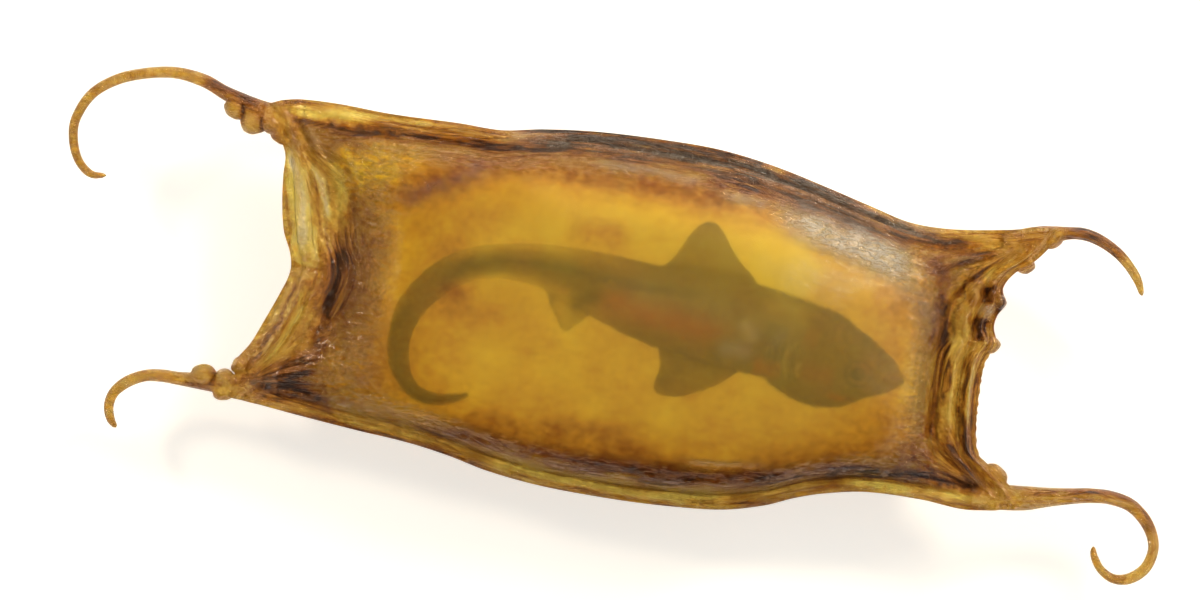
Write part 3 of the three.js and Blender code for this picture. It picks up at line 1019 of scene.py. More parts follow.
@dataclass(frozen=True)
class StudioFloor:
    """Matt pale top of a light table, which glows a little so that thin skin shows its colour."""

    colour: str = "f4f2ee"
    shade: str = "efede8"
    glow: float = 0.78
    roughness: float = 0.8
    mottle_size: float = 1000 / 3

    def material(self) -> bpy.types.Material:
        """Makes the material, with a faint mottle.

        Returns:
            The material.
        """
        material = bpy.data.materials.new("studio_floor")
        tree = Tree(material)
        mottle = tree.add("TexNoise", {"Vector": tree.add("TexCoord", output="Object"),
                                       "Scale": 1 / (self.mottle_size * MM), "Detail": 4.0})
        tone = tree.add("Mix", {0: mottle, 6: linear(self.colour), 7: linear(self.shade)},
                        output=2, data_type="RGBA")
        surface = tree.add("BsdfPrincipled", {
            "Base Color": tone, "Roughness": self.roughness, "Emission Color": tone,
            "Emission Strength": self.glow,
        })
        tree.add("OutputMaterial", {"Surface": surface})
        return material


# ---- the case -------------------------------------------------------------------------------


# The crests of the two widest pleats of the left collar, painted as pale cream highlights.
OUTER_CREST_HIGHLIGHT = ((-54, 16.2), (-52, 12.6), (-50.5, 9), (-49.7, 5.5), (-49.2, 1))
INNER_CREST_HIGHLIGHT = ((-50.6, 15), (-48.2, 12), (-47, 9), (-46.3, 5.6))


@dataclass(frozen=True)
class Markings:
    """Browned, pale, and painted shade and highlights of the case's skin, in millimetres on its
    plan.
    """

    body_stain: float = 0.05
    rim_stain: float = 0.15
    flange_stain: float = 0.12
    flange_milk: float = 0.42
    body_haze: float = 0.095
    strand_contrast: float = 0.35
    horn_stain: float = 0.27
    warp: float = 0.7
    left_slack: float = 0.16
    # Shares of the full swelling between which each of these gives way to stretched skin.
    flange_span: tuple[float, float] = (0.0, 0.35)
    slack_span: tuple[float, float] = (0.25, 0.62)
    rim_span: tuple[float, float] = (0.45, 0.95)
    haze_span: tuple[float, float] = (0.5, 0.9)
    fibre_span: tuple[float, float] = (0.15, 0.6)
    brown_and_shade: tuple[Stroke, ...] = (
        # The left end: painted shade in the valley inside the collar, and mottled skin beside it.
        Stroke([(-43.6, 6.5), (-43.6, 1), (-43.9, -4), (-44.3, -8), (-45.2, -11.5)], 1.25, 0.84,
               0.35),
        Stroke([(-43.4, 4), (-43.4, -1), (-43.8, -7)], 1.9, 0.36),
        Stroke([(-44, 13), (-43.2, 10), (-42.9, 6)], 0.6, 0.25),
        Stroke([(-42, 12), (-41, 6), (-40.6, 0), (-41, -7), (-42.5, -13)], 2.2, 0.22),
        Stroke([(-37.5, 8), (-36.6, 2), (-37, -5), (-38, -12)], 2.2, 0.04),
        Stroke([(-44.6, -8), (-45.1, -12), (-46.6, -15.2), (-50, -17.6)], 1.5, 0.5, 0.1),
        Stroke([(-55.5, -18.4), (-51, -18), (-46, -18.6), (-41, -19.2)], 1.3, 0.6, 0.2),
        Stroke([(-53, -16.6), (-49, -16.6), (-45, -16.8)], 1.0, 0.35),
        Stroke([(-48, -19.7), (-38, -20.4), (-30, -20.9), (-22, -21.2)], 0.6, 0.16, 0.1),
        Stroke([(-39, 9), (-36, 11.8), (-33, 13.6), (-29.5, 15.2), (-26, 17.4), (-22, 19)],
               1.7, 0.34),
        # Fine dark lines of the collar: painted shade in the grooves between its pleats.
        Stroke([(-53.4, 12.5), (-52.4, 7), (-51, 2.5), (-50.3, 0)], 0.2, 0.35),
        Stroke([(-53.2, 16.4), (-51.5, 12.4), (-50.3, 8), (-49.5, 4), (-49.3, 0.6)], 0.22, 0.5),
        Stroke([(-51.2, 16), (-49.2, 13), (-48, 9), (-47, 4), (-46.7, 0.5)], 0.24, 0.45),
        Stroke([(-50.2, 15), (-47.6, 12), (-46.3, 9.5)], 0.2, 0.4),
        Stroke([(-50.4, -1), (-51.8, -5), (-53.5, -9.5), (-55.6, -13.6)], 0.22, 0.3),
        Stroke([(-49.4, -1.4), (-49.7, -5), (-51.2, -10), (-53.7, -14.6), (-55, -17)], 0.3, 0.6),
        Stroke([(-48.3, -1.6), (-48.7, -6), (-50.4, -10.8), (-52.8, -14.5)], 0.22, 0.35),
        Stroke([(-50.8, -0.7), (-48.8, -0.4), (-46.4, -0.9)], 0.4, 0.35),
        # Thin edges of the flanges at the left.
        Stroke([(-57, 22), (-50, 22.9), (-40, 22.8), (-30, 23.1), (-24, 23.1)], 0.2, 0.4, 0.1),
        Stroke([(-50, -21.1), (-40, -22), (-30, -22.7), (-22, -24)], 0.22, 0.45, 0.1),
        # Upper flange: brown, with painted shade in its long creases and where it falls steeply.
        Stroke([(-55.5, 20.4), (-50, 19.9), (-45, 19.8), (-38, 20), (-30, 20.6), (-22, 20.9),
                (-15, 21.6)], 0.4, 0.62, 0.08),
        Stroke([(-50, 19.5), (-45, 19.8), (-38, 20.8), (-32, 21), (-27, 21)], 1.0, 0.5),
        Stroke([(-33, 20.9), (-26, 21.3), (-20, 21.6), (-12, 22.6)], 0.8, 0.45),
        Stroke([(-18, 22.8), (-12, 23.8), (-5, 24.2), (2, 23.9), (10, 23.6), (16, 23), (21, 22),
                (26, 20.8), (31, 19.8), (36, 18.7), (41, 17.9), (47, 17.8)], 0.35, 0.9, 0.08),
        Stroke([(11, 23.6), (16, 23.1), (20, 22.3), (24, 21.4)], 0.55, 0.6),
        Stroke([(-24, 23.3), (-18, 24.3), (-11, 25.2), (-4, 25.6)], 0.28, 0.75),
        Stroke([(-22, 22.6), (-8, 24.4), (4, 24.9), (14, 24.2), (22, 22.6), (32, 20.1)],
               1.4, 0.66, 0.15),
        Stroke([(3, 21.6), (10, 21.4), (16, 20.9), (22, 19.9), (29, 18.2), (38, 16.8)],
               1.3, 0.7, 0.15),
        Stroke([(-20, 21.3), (-8, 22.3), (0, 22.8), (8, 22.4)], 1.0, 0.3, 0.15),
        Stroke([(30, 18.6), (36, 17.6), (42, 17), (48, 17.4)], 0.7, 0.5),
        # The right end: brown skin, with painted shade in its creases and in the pits by the lip.
        Stroke([(40.5, 13), (42.4, 9.5), (43.6, 5), (44.5, 0), (44.9, -4), (44.8, -8.5)],
               0.4, 0.75),
        Stroke([(40.5, 13), (42.2, 8), (43.2, 2), (43.6, -4), (43, -10), (41.6, -14)], 1.3, 0.5),
        Stroke([(38.8, 15), (41, 13.6), (42.6, 12)], 1.3, 0.45),
        Stroke([(38, -13.6), (42, -13.2), (46, -13.6), (49.5, -14.6)], 1.6, 0.4),
        Stroke([(47.6, 3), (47.3, 0), (47.3, -3), (47.9, -7), (49.5, -11.6), (51.3, -14)],
               0.35, 0.85),
        Stroke([(48.8, 1.5), (48.6, -4), (49.2, -9), (50.6, -12.6)], 0.26, 0.7),
        Stroke([(46, 12), (46.4, 8), (46.2, 4)], 0.3, 0.5),
        Stroke([(48.4, 12.8), (48.7, 10.2)], 0.9, 0.8, 0.05),
        Stroke([(48.2, 8), (48.6, 4.6)], 1.1, 0.9, 0.05),
        Stroke([(50.8, 14.4), (50.9, 11), (50.6, 7), (50.4, 4)], 0.5, 0.45),
        Stroke([(50.2, 17.6), (46, 16.6), (42.5, 14.6), (40.8, 12.4)], 0.35, 0.6),
        Stroke([(50.8, 17.2), (48, 15.4), (45.4, 12.6), (43.8, 9)], 0.5, 0.6),
        Stroke([(29, -17.6), (35, -16.6), (40, -16), (45, -15.8), (50, -15.8), (53, -16.4)],
               0.9, 0.8, 0.1),
        Stroke([(46.4, -10), (48.4, -13), (51.4, -15.2)], 0.7, 0.55),
        # Lower side: a dark band, brown with painted shade where it turns down, and painted shade
        # above.
        Stroke([(-30, -20.6), (-22, -20.8), (-12, -21.2), (-5, -21.4), (3, -21.4), (10, -21),
                (18, -20.4), (25, -18.7), (31, -17.3), (38, -16.3)], 1.2, 0.36, 0.12),
        Stroke([(-9, -21.4), (0, -21.7), (6, -21.7), (14, -21.1), (22, -19.7), (31, -17.2)],
               0.9, 0.45),
        Stroke([(-16, -22.6), (-4, -23.2), (8, -22.9), (18, -21.8)], 0.6, 0.25),
        Stroke([(-14, -18.8), (-5, -19), (8, -18.8), (20, -17.6), (32, -14.6), (40, -12)],
               1.4, 0.08,
               0.1),
        Stroke([(-24, -23.3), (-10, -25.6), (0, -25.9), (10, -25.6), (20, -23.8), (27, -21.2)],
               0.25, 0.3, 0.1),
        Stroke([(-20, -24), (-6, -24.6), (6, -24.5), (18, -23.1)], 1.4, 0.17, 0.1),
        # Clouds in the stretched skin: rusty stain, and painted shadow of the embryo's tail.
        Stroke([(-24, -18), (-17, -18.2), (-12, -18)], 1.5, 0.1),
        Stroke([(-31.4, 4), (-28.6, 5.2), (-25, 6)], 1.2, 0.14),
        Stroke([(-36, 18.4), (-30, 18.4), (-20, 18.7), (-8, 18.8), (4, 18.8), (13, 17.8)],
               1.5, 0.24,
               0.1),
        Stroke([(-13, 10), (-8, 11.5), (-3, 11)], 2.0, 0.16),
        Stroke([(-13, -18), (-7, -16.6), (-1, -16.8), (3, -18)], 1.3, 0.16),
        Stroke([(-29.4, 1.6), (-26.6, -0.8), (-23.6, 0.4)], 1.5, 0.2),
        Stroke([(10, 18), (20, 16.5), (28, 13)], 1.6, 0.1),
        Stroke([(-30, -2), (-24, -3.5), (-18, -3)], 2.0, 0.1),
    )
    horn_brown_and_shade: tuple[Stroke, ...] = (
        Stroke([(-54, 20.4), (-59, 21.6), (-64, 22.8), (-68, 23.9)], 1.2, 0.5, 0.2),
        Stroke([(-56, -20.6), (-60, -19.9), (-64, -19.9)], 0.8, 0.35, 0.2),
        # Painted shade in the crevices between the knobs.
        Stroke([(-61.2, 21.2), (-60.8, 19.4), (-61.3, 18.3)], 0.3, 0.65, 0.1),
        Stroke([(-57.7, 20.4), (-58, 18.8), (-57.5, 17.2)], 0.32, 0.65, 0.1),
        Stroke([(-56.1, 19.4), (-56.4, 18), (-55.8, 16.8)], 0.25, 0.55, 0.1),
        Stroke([(-59, -16.7), (-58.8, -18.2), (-59.3, -19.5)], 0.28, 0.65, 0.1),
        Stroke([(-59.2, -19.3), (-57.2, -19.1), (-55.4, -18.8)], 0.28, 0.65, 0.1),
        Stroke([(-56.3, -16.6), (-55.8, -18)], 0.25, 0.55, 0.1),
        Stroke([(55, 21.4), (60, 22.4), (64, 21.4), (68, 18.6)], 1.1, 0.4, 0.2),
        Stroke([(57, -16.4), (64, -14.6), (71, -13.8), (76, -16), (78.2, -20)], 0.5, 0.3, 0.15),
    )
    pale: tuple[Stroke, ...] = (
        # Skin stretched thin or drawn into a clear yellow leaf; painted highlights on collar
        # crests.
        Stroke([(13, 11), (19, 10.4), (25, 8)], 4.5, 0.16),
        Stroke([(-26, 11), (-10, 14), (2, 13), (14, 12), (26, 9)], 5.0, 0.08),
        Stroke([(-53.6, 15), (-51, 9), (-49.4, 1), (-50.6, -6), (-54, -13)], 2.2, 0.14, 0.1),
        Stroke(OUTER_CREST_HIGHLIGHT, 0.8, 0.92, 0.15),
        Stroke([(-53.4, 12.6), (-51.8, 8), (-50.6, 3), (-50.2, 0.4)], 0.3, 0.5),
        Stroke(INNER_CREST_HIGHLIGHT, 0.5, 0.85),
        Stroke([(-48.4, 6), (-47.6, 3), (-46.9, 0.4)], 0.35, 0.6),
        Stroke([(-46.2, 17.6), (-43.4, 14.6), (-41.6, 11)], 0.4, 0.55),
        Stroke([(-47.8, -3), (-48.6, -7.6), (-50.6, -12.2), (-53, -15.6)], 0.35, 0.5),
        Stroke([(-50.5, 0.2), (-48.6, -0.2), (-46.6, 0)], 0.3, 0.5),
        Stroke([(-48.4, 16.4), (-46, 14.4), (-44.8, 11), (-44.9, 6)], 1.1, 0.32),
        Stroke([(-44.5, 15.4), (-40, 14.4), (-36.5, 15)], 1.6, 0.3),
        Stroke([(-41, 14), (-37.4, 10), (-35.4, 4), (-35.4, -4), (-37, -10)], 2.6, 0.12),
        Stroke([(37, 8), (39.4, 3), (39.8, -3), (37.6, -9)], 2.0, 0.14),
        Stroke([(-40, -18.2), (-30, -18.4), (-22, -18.6)], 1.3, 0.1),
        Stroke([(3, -18.5), (11, -18.4), (19, -17.4)], 1.2, 0.13),
        Stroke([(46, -18), (50, -18.1), (55, -17.7)], 0.8, 0.28),
        Stroke([(-54.4, -15.6), (-51, -13.6), (-48.6, -11)], 1.2, 0.2),
        Stroke([(-43, -20.5), (-34, -21), (-25, -21.9)], 0.9, 0.2),
        Stroke([(-44, 17.6), (-38, 17.3), (-32, 17.6)], 1.4, 0.12),
        Stroke([(-55.5, 21.4), (-51, 21.3), (-46, 21.8), (-40, 22.5)], 0.6, 0.5),
        Stroke([(-48, 22.8), (-40, 22.7), (-32, 22.8)], 0.4, 0.3),
        Stroke([(31, -18.7), (36, -18), (43, -17.9)], 0.6, 0.4),
        Stroke([(46.4, 12.5), (45.7, 8), (45.4, 1), (45.6, -5), (46.6, -10)], 0.9, 0.24),
        Stroke([(51, -17.7), (45, -17.9), (38, -17.7)], 0.5, 0.2),
        Stroke([(48.8, -13.6), (46.4, -13.2), (44, -13.4)], 1.0, 0.16),
        Stroke([(48, 2), (48, -3), (48.6, -8)], 0.3, 0.6),
        Stroke([(49.5, 16.6), (47.4, 13)], 0.5, 0.4),
        Stroke([(-2, -22.9), (4, -23.1)], 0.5, 0.3),
        Stroke([(-20, -24), (-6, -24.7), (6, -24.6), (18, -23.2)], 1.2, 0.4, 0.1),
    )
    painted_sheen_strokes: tuple[Stroke, ...] = (
        # Painted sheen and highlights, pale and wrinkled, where the skin would catch the light.
        Stroke([(14, 18.6), (20, 17.4), (25, 16.2), (31, 14.4), (36, 13.2), (41, 11.6)],
               2.0, 1.0, 0.35),
        Stroke([(26, 17.4), (30, 15.4), (37, 12.8)], 1.9, 0.9),
        Stroke([(33, 12.2), (37, 10.6), (40.5, 7.4), (42, 4)], 1.3, 0.32),
        Stroke([(17, 9.5), (24, 9.5), (31, 8)], 3.0, 0.16),
        Stroke([(28, 11), (33, 9.4), (37, 7)], 2.0, 0.1),
        Stroke([(-37, 10.5), (-33, 13), (-29, 15), (-24, 18)], 1.6, 0.14),
        Stroke([(-12, 20.6), (-5, 21), (2, 20.9), (7, 20)], 0.6, 0.45),
        Stroke([(8, 19.4), (16, 18.8)], 0.6, 0.4),
        Stroke([(-27, 22.4), (-14, 23.4), (0, 23.9), (12, 23.4), (22, 21.6), (33, 19.2),
                (44, 18.6)],
               1.2, 0.26, 0.1),
        Stroke([(-54.6, -18.6), (-52, -17.8), (-49, -17)], 0.5, 0.14),
        Stroke([(8, -19), (15, -18.7), (22, -17.6)], 0.4, 0.25),
        Stroke([(48.6, 9.6), (49.4, 8.6)], 0.7, 0.6, 0.05),
        # Painted cream highlights on the crests of the left collar's pleats.
        Stroke(OUTER_CREST_HIGHLIGHT, 0.4, 0.22, 0.15),
        Stroke(INNER_CREST_HIGHLIGHT, 0.25, 0.25),
    )
    misty: tuple[Stroke, ...] = (
        # Skin that lies against the flesh and scatters more light.
        Stroke([(-9, 4.6), (0, 3.2), (12, 2), (24, 0.4), (28.5, -0.6)], 4.2, 0.085),
        Stroke([(11, -2.8), (14, -2.2), (16.6, -2.8)], 1.3, 0.13),
        Stroke([(14, 2), (15.6, 0.4), (16.8, -1)], 1.1, 0.1),
        Stroke([(19, 1), (20.6, 0)], 1.6, 0.06),
    )

    def cover(self, strokes: Sequence[Stroke], x: Array, y: Array) -> Array:
        """How much a set of strokes covers the skin.

        Args:
            strokes: The strokes.
            x: Places along.
            y: Places across.

        Returns:
            The cover at each place, from 0 to 1.
        """
        bare = np.ones_like(x)
        for stroke in strokes:
            bare *= 1 - stroke.weight(x, y)
        return 1 - bare

    def warped(self, x: Array, y: Array, seed: float) -> tuple[Array, Array]:
        """Places pushed about a little, so that the edges of the marks are ragged.

        Args:
            x: Places along.
            y: Places across.
            seed: Where the noise is cut, so that the two skins differ.

        Returns:
            The moved places along and across.
        """
        push_x = ripple(x, y, 3.0, 3.0, seed) + 0.5 * ripple(x, y, 1.1, 1.1, seed + 5)
        push_y = ripple(x, y, 3.5, 2.5, seed + 9) + 0.4 * ripple(x, y, 1.2, 0.8, seed + 14)
        return x + self.warp * push_x, y + 0.6 * self.warp * push_y


@dataclass
class EggCase:
    """The whole case: two skins round a hollow, with flanges, knobs and four curled horns."""

    form: CaseForm
    finish: CaseSkin = CaseSkin()
    markings: Markings = Markings()
    cells_along: int = 262
    cells_across: int = 132
    hollow_along: int = 72
    hollow_across: int = 40
    crowding_along: float = 0.55
    crowding_across: float = 0.7
    slit_place: tuple[float, float] = (-47.0, -2.0)
    slit_reach: float = 20.0
    slit_width: float = 18.0
    slit_height: float = 0.3
    horn_sides: int = 16
    strand_height: float = 0.1
    wave_height: float = 0.12
    crumple_height: float = 0.22
    least_half: float = 0.35
    lower_folds: float = 0.6
    rib_height: float = 0.035
    knob_dimples: float = 0.16
    hollow_rise: float = 0.8
    least_hollow: float = 0.25
    horns: tuple[Horn, ...] = (
        Horn(((-53, 19.8, 0), (-58, 20.4, 0.1), (-63.6, 22.1, 0.4), (-67, 23.4, 0.9),
              (-71, 23.9, 1.4), (-75.1, 23.2, 1.9), (-79.2, 21.6, 2.2), (-82.5, 18.9, 2.2),
              (-84.2, 15.1, 1.9), (-84.1, 12, 1.4), (-83, 9.3, 0.8), (-81.1, 7.7, 0.3),
              (-78.9, 7.8, 0)),
             (2.1, 1.6, 1.05, 0.97, 0.85, 0.8, 0.78, 0.74, 0.69, 0.67, 0.62, 0.56, 0.32),
             0.85, 96),
        Horn(((-53, -18.9, 0), (-58.5, -19, -0.2), (-63.5, -19.3, -0.5), (-66.5, -19.3, -0.9),
              (-69, -19.7, -1.3), (-71.4, -21, -1.6), (-73, -22.8, -1.7), (-73.4, -24.8, -1.6),
              (-72.8, -26.6, -1.3), (-71.8, -27.7, -0.9)),
             (1.8, 1.5, 1, 0.92, 0.85, 0.85, 0.76, 0.72, 0.62, 0.32), 0.85, 64),
        Horn(((50, 18.6, 0), (54.5, 20.7, 0.2), (58.5, 21.9, 0.5), (61, 22.1, 0.8),
              (63.4, 21.5, 1), (66, 20.2, 1), (68, 18.6, 0.8), (69.6, 16.8, 0.4),
              (70.6, 14.8, 0)),
             (2, 1.6, 0.95, 0.9, 0.85, 0.78, 0.7, 0.62, 0.32), 0.9, 60),
        Horn(((51, -17.2, 0), (56, -16.9, -0.1), (59, -16.5, -0.2), (62, -15.9, -0.4),
              (65, -15.3, -0.6), (68, -14.75, -0.8), (71, -14.6, -0.9), (74.1, -15.3, -0.8),
              (76.7, -17.5, -0.5), (78, -20.5, 0), (77.3, -23.6, 0.5), (75.2, -25.5, 0.9),
              (72.9, -25.9, 1.1), (70.9, -24.9, 1.1), (69.7, -23.2, 0.9), (69.4, -21.8, 0.6)),
             (1.9, 1.85, 1.75, 1.4, 1.18, 1.08, 1.02, 0.97, 0.9, 0.79, 0.8, 0.8, 0.68, 0.6,
              0.54, 0.32), 0.8, 112),
    )
    knobs: tuple[Knob, ...] = (
        Knob(-62.1, 20.2, 0.3, (1.7, 1.4, 1.3), -35), Knob(-59.3, 18.7, 0.4, (2, 1.8, 1.5), -15),
        Knob(-56.7, 19, 0.9, (1.9, 1.5, 1.4), -35), Knob(-55.3, 17.6, 0, (1.7, 1.2, 1.2), -40),
        Knob(-60.5, -18.1, 0.2, (2, 1.5, 1.4), 8), Knob(-57.4, -18.1, 0.5, (1.6, 1.3, 1.5), -5),
        Knob(-57.4, -20.1, -0.2, (1.6, 1.35, 1.3), 5),
        Knob(-55.5, -15.9, 0.2, (1.5, 1.2, 1.3), 60), Knob(56.6, 20.4, 0.1, (1.6, 1.1, 1.2), 25),
        Knob(53.2, 16.6, 0.2, (1.5, 1.5, 1.4), 10), Knob(54.1, -13.9, 0.1, (1.9, 1.2, 1.2), -35),
        Knob(50.3, 10.6, 0.5, (1.2, 1.2, 1.3), 0), Knob(50.2, 4.3, 0.5, (1.4, 1.2, 1.3), 20),
    )

    def _shares(self, block: bpy.types.Object) -> tuple[Array, Array, Array]:
        """Reads a flat block, with its cells crowded towards its edges.

        Args:
            block: A block from flat_block.

        Returns:
            Shares along and across, and sides from -1 below to 1 above.
        """
        points = mesh_points(block.data)
        u = crowd_ends(points[:, 0] + 0.5, self.crowding_along)
        v = crowd_ends(points[:, 1] + 0.5, self.crowding_across)
        return u, v, points[:, 2]

    def _skins(self) -> bpy.types.Object:
        """The two skins as one full solid.

        Returns:
            The solid, clipped flat where the belly rests.
        """
        block = flat_block("egg_case_visual", self.cells_along, self.cells_across, 2)
        u, v, side = self._shares(block)
        x, y = self.form.plan(u, v)
        half = (
            self.form.skin(x, y) + self.form.body_rise(x, y) + self.form.pleat_rise(x, y)
            + self.form.fold_rise(x, y) * np.where(side > 0, 1.0, self.lower_folds)
        )
        half += self._wrinkles(x, y, side)
        half = np.maximum(half, self.least_half)
        z = self.form.seam_height(x, y) + side * half
        place_points(block.data, np.stack([x, y, np.maximum(z, 0)], axis=1))
        return block

    def _wrinkles(self, x: Array, y: Array, side: Array) -> Array:
        """Creases that run with the fibres, crumples, and slow waves of the stretched skin.

        Args:
            x: Places along.
            y: Places across.
            side: 1 above the seam, -1 below.

        Returns:
            Their height at each place.
        """
        swell = self.form.body_rise(x, y) / self.form.body_half_depth
        gathered = 1 - smoothstep(swell, 0.15, 0.9)
        shoulder = gathered * smoothstep(swell, 0.05, 0.3)
        slow = ripple(x, y, 9.0, 6.0, 41.3) * np.sign(side)
        crumple = 0.5 - np.abs(ripple(x + 0.6 * y, y, 2.6, 1.3, 23.4))
        crumple -= 0.6 * np.abs(ripple(x - 0.5 * y, y, 1.3, 0.8, 29.6))
        return (
            self.strand_height * self.form.strands(x, y) * gathered
            + self.wave_height * slow + self.crumple_height * crumple * shoulder
        )

    def _hollow(self) -> bpy.types.Object:
        """The hollow between the skins.

        Returns:
            A solid of its shape, to be cut out.
        """
        block = flat_block("hollow", self.hollow_along, self.hollow_across, 0)
        u, v, side = self._shares(block)
        x, y = self.form.hollow_plan(u, v)
        half = self.form.body_rise(x, y) + self.hollow_rise - self.form.wall
        half = np.maximum(self.least_hollow, half)
        z = self.form.seam_height(x, y) + np.sign(side) * half
        place_points(block.data, np.stack([x, y, np.maximum(z, self.form.wall)], axis=1))
        return block

    def _slit(self) -> bpy.types.Object:
        """The hatching slit through the left lip, which tapers to nothing at its two ends.

        Returns:
            A solid of its shape, to be cut out.
        """
        sizes = (self.slit_reach * MM, self.slit_width * MM, self.slit_height * MM)
        at = Matrix.Translation((self.slit_place[0] * MM, self.slit_place[1] * MM,
                                 self.form.mid_height * MM))
        placed = at @ Matrix.Diagonal((*sizes, 2)) @ Matrix.Scale(0.5, 4)
        return ball("slit", 48, 8, 1.0, placed)

    def _horn(self, horn: Horn) -> bpy.types.Object:
        """One curled horn, a little ribbed along its length.

        Args:
            horn: Its sizes.

        Returns:
            The horn.
        """
        bar = straight_bar("horn", self.horn_sides, horn.steps)
        points = np.array(horn.middle, float)
        points[:, 2] += self.form.mid_height
        width = Curve(list(enumerate(horn.half_widths)))
        last = len(horn.half_widths) - 1

        def sizes(share: Array, angle: Array) -> tuple[Array, Array]:
            """Sizes of the horn, ribbed, and rounded off at its tip.

            Args:
                share: Shares of the length.
                angle: Angles round the horn.

            Returns:
                Half-widths and half-heights.
            """
            round_tip = np.sqrt(np.clip((1 - share) / 0.02, 0.05, 1))
            ribs = 1 + self.rib_height * np.sin(3 * angle + 9 * share)
            half = width(share * last) * round_tip * ribs
            return half, half * horn.depth

        bend_bar(bar, Line(points), sizes)
        return bar

    def _knob(self, knob: Knob) -> bpy.types.Object:
        """One lump, dimpled so that no two are alike.

        Args:
            knob: Its sizes.

        Returns:
            The lump.
        """
        build = bmesh.new()
        bmesh.ops.create_icosphere(build, subdivisions=3, radius=1.0)
        for vert in build.verts:
            dimple = noise.noise(vert.co * 1.3 + Vector((knob.x, knob.y, 0)))
            vert.co *= 1 + self.knob_dimples * dimple
        turned = Matrix.Rotation(math.radians(knob.turn), 4, "Z")
        sized = Matrix.Diagonal((*(s * MM for s in knob.half_sizes), 1))
        at = Matrix.Translation((knob.x * MM, knob.y * MM, (self.form.mid_height + knob.lift) * MM))
        bmesh.ops.transform(build, matrix=at @ turned @ sized, verts=build.verts)
        return new_object("knob", build)

    def _horn_fibres(self, points: Array, fibres: Array) -> Array:
        """Turns the fibres of the horns along each horn.

        Args:
            points: Places of all the vertices.
            fibres: Places along and across the fibres of the plan.

        Returns:
            The fibres, with those of the horns turned.
        """
        x, y, z = points.T
        outside = -np.minimum.reduce(self.form.edge_distances(x, y))
        for horn in self.horns:
            path = [(station[0], station[1]) for station in horn.middle]
            off, share = distance_to_path(x, y, path)
            length = np.sum(np.hypot(*np.diff(np.array(path), axis=0).T))
            on_it = (off < 1.2 * max(horn.half_widths)) & (outside > 0.5)
            turned = np.stack([share * length + 600, off, z], axis=1)
            fibres = np.where(on_it[:, None], turned, fibres)
        return fibres

    def _paint(self, mesh: bpy.types.Mesh) -> None:
        """Stores the brown, pale and painted shade and sheen of the skin, and which way its fibres
        run.

        Args:
            mesh: The mesh of the case.
        """
        points = mesh_points(mesh)
        x, y, z = points.T
        above = z > self.form.seam_height(x, y)
        marks = self.markings
        upper, lower = marks.warped(x, y, 1.7), marks.warped(x, y, 31.3)
        px, py = (np.where(above, a, b) for a, b in zip(upper, lower))
        to_edges = self.form.edge_distances(x, y)
        to_end = np.minimum(to_edges[2], to_edges[3])
        on_horn = smoothstep(-np.minimum.reduce(to_edges), 0.0, 1.5)
        swell = self.form.body_rise(x, y) / self.form.body_half_depth
        off_body = 1 - smoothstep(swell, *marks.flange_span)
        # The left slope is slack further in than the right one.
        drawn_in = marks.left_slack * smoothstep(-x, 34, 44)
        gather = 1 - smoothstep(swell - drawn_in, *marks.slack_span)
        strand = np.clip(-self.form.strands(x, y), -0.6, 0.8)
        stain_and_painted_light = marks.body_stain + marks.rim_stain * (1 - smoothstep(swell, *marks.rim_span))
        stain_and_painted_light += marks.flange_stain * off_body
        # Brown strokes add stain and painted shade; pale strokes take it off, to painted
        # highlights.
        stain_and_painted_light += (1 - stain_and_painted_light) * marks.cover(marks.brown_and_shade, px, py)
        stain_and_painted_light *= 1 + marks.strand_contrast * strand * gather
        pale_cover = marks.cover(marks.pale, px, py)
        stain_and_painted_light -= pale_cover
        # The horns' own brown, with painted shade in the crevices between the knobs.
        horn_cover = marks.cover(marks.horn_brown_and_shade, x, y)
        horn_stain = marks.horn_stain + (1 - marks.horn_stain) * horn_cover
        stain_and_painted_light = stain_and_painted_light * (1 - on_horn) + horn_stain * on_horn
        in_slit = np.abs(z - self.form.mid_height) < 0.5 * self.slit_height
        in_slit &= (x < self.slit_place[0] + self.slit_reach / 2) & (to_edges[2] > 0.1)
        along, across, marked = self.form.flow(x, y)
        fibres = self._horn_fibres(points, np.stack([along, across, z], axis=1))
        haze = marks.body_haze * smoothstep(swell, *marks.haze_span)
        slack = 1 - smoothstep(swell, *marks.fibre_span)
        # The stain holds painted shade and highlights, and the sheen cover is painted sheen.
        for name, values in (
            ("stain_and_painted_light", np.where(in_slit, -1.0, stain_and_painted_light)),
            ("painted_sheen", marks.cover(marks.painted_sheen_strokes, px, py) * (1 - on_horn)),
            ("haze", haze + above * marks.cover(marks.misty, x, y)),
            ("milk", marks.flange_milk * np.maximum(off_body, on_horn) * (1 - pale_cover)),
            ("gather", gather),
            ("marked", np.maximum(marked * slack, 0.5 * on_horn)),
            ("fibres", fibres),
        ):
            set_attribute(mesh, name, values)

    def build(self) -> bpy.types.Object:
        """Builds and dresses the case.

        Returns:
            The case, riding on the root body in place of the solid.
        """
        case = self._skins()
        combine(case, [self._horn(horn) for horn in self.horns], Joint.GROWN_ON)
        combine(case, [self._knob(knob) for knob in self.knobs], Joint.GROWN_ON)
        combine(case, [self._hollow(), self._slit()], Joint.CUT_OUT)
        self._paint(case.data)
        dress(case, self.finish.material())
        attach(case, "root")
        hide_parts("egg_case")
        return case


# ---- the embryo -----------------------------------------------------------------------------


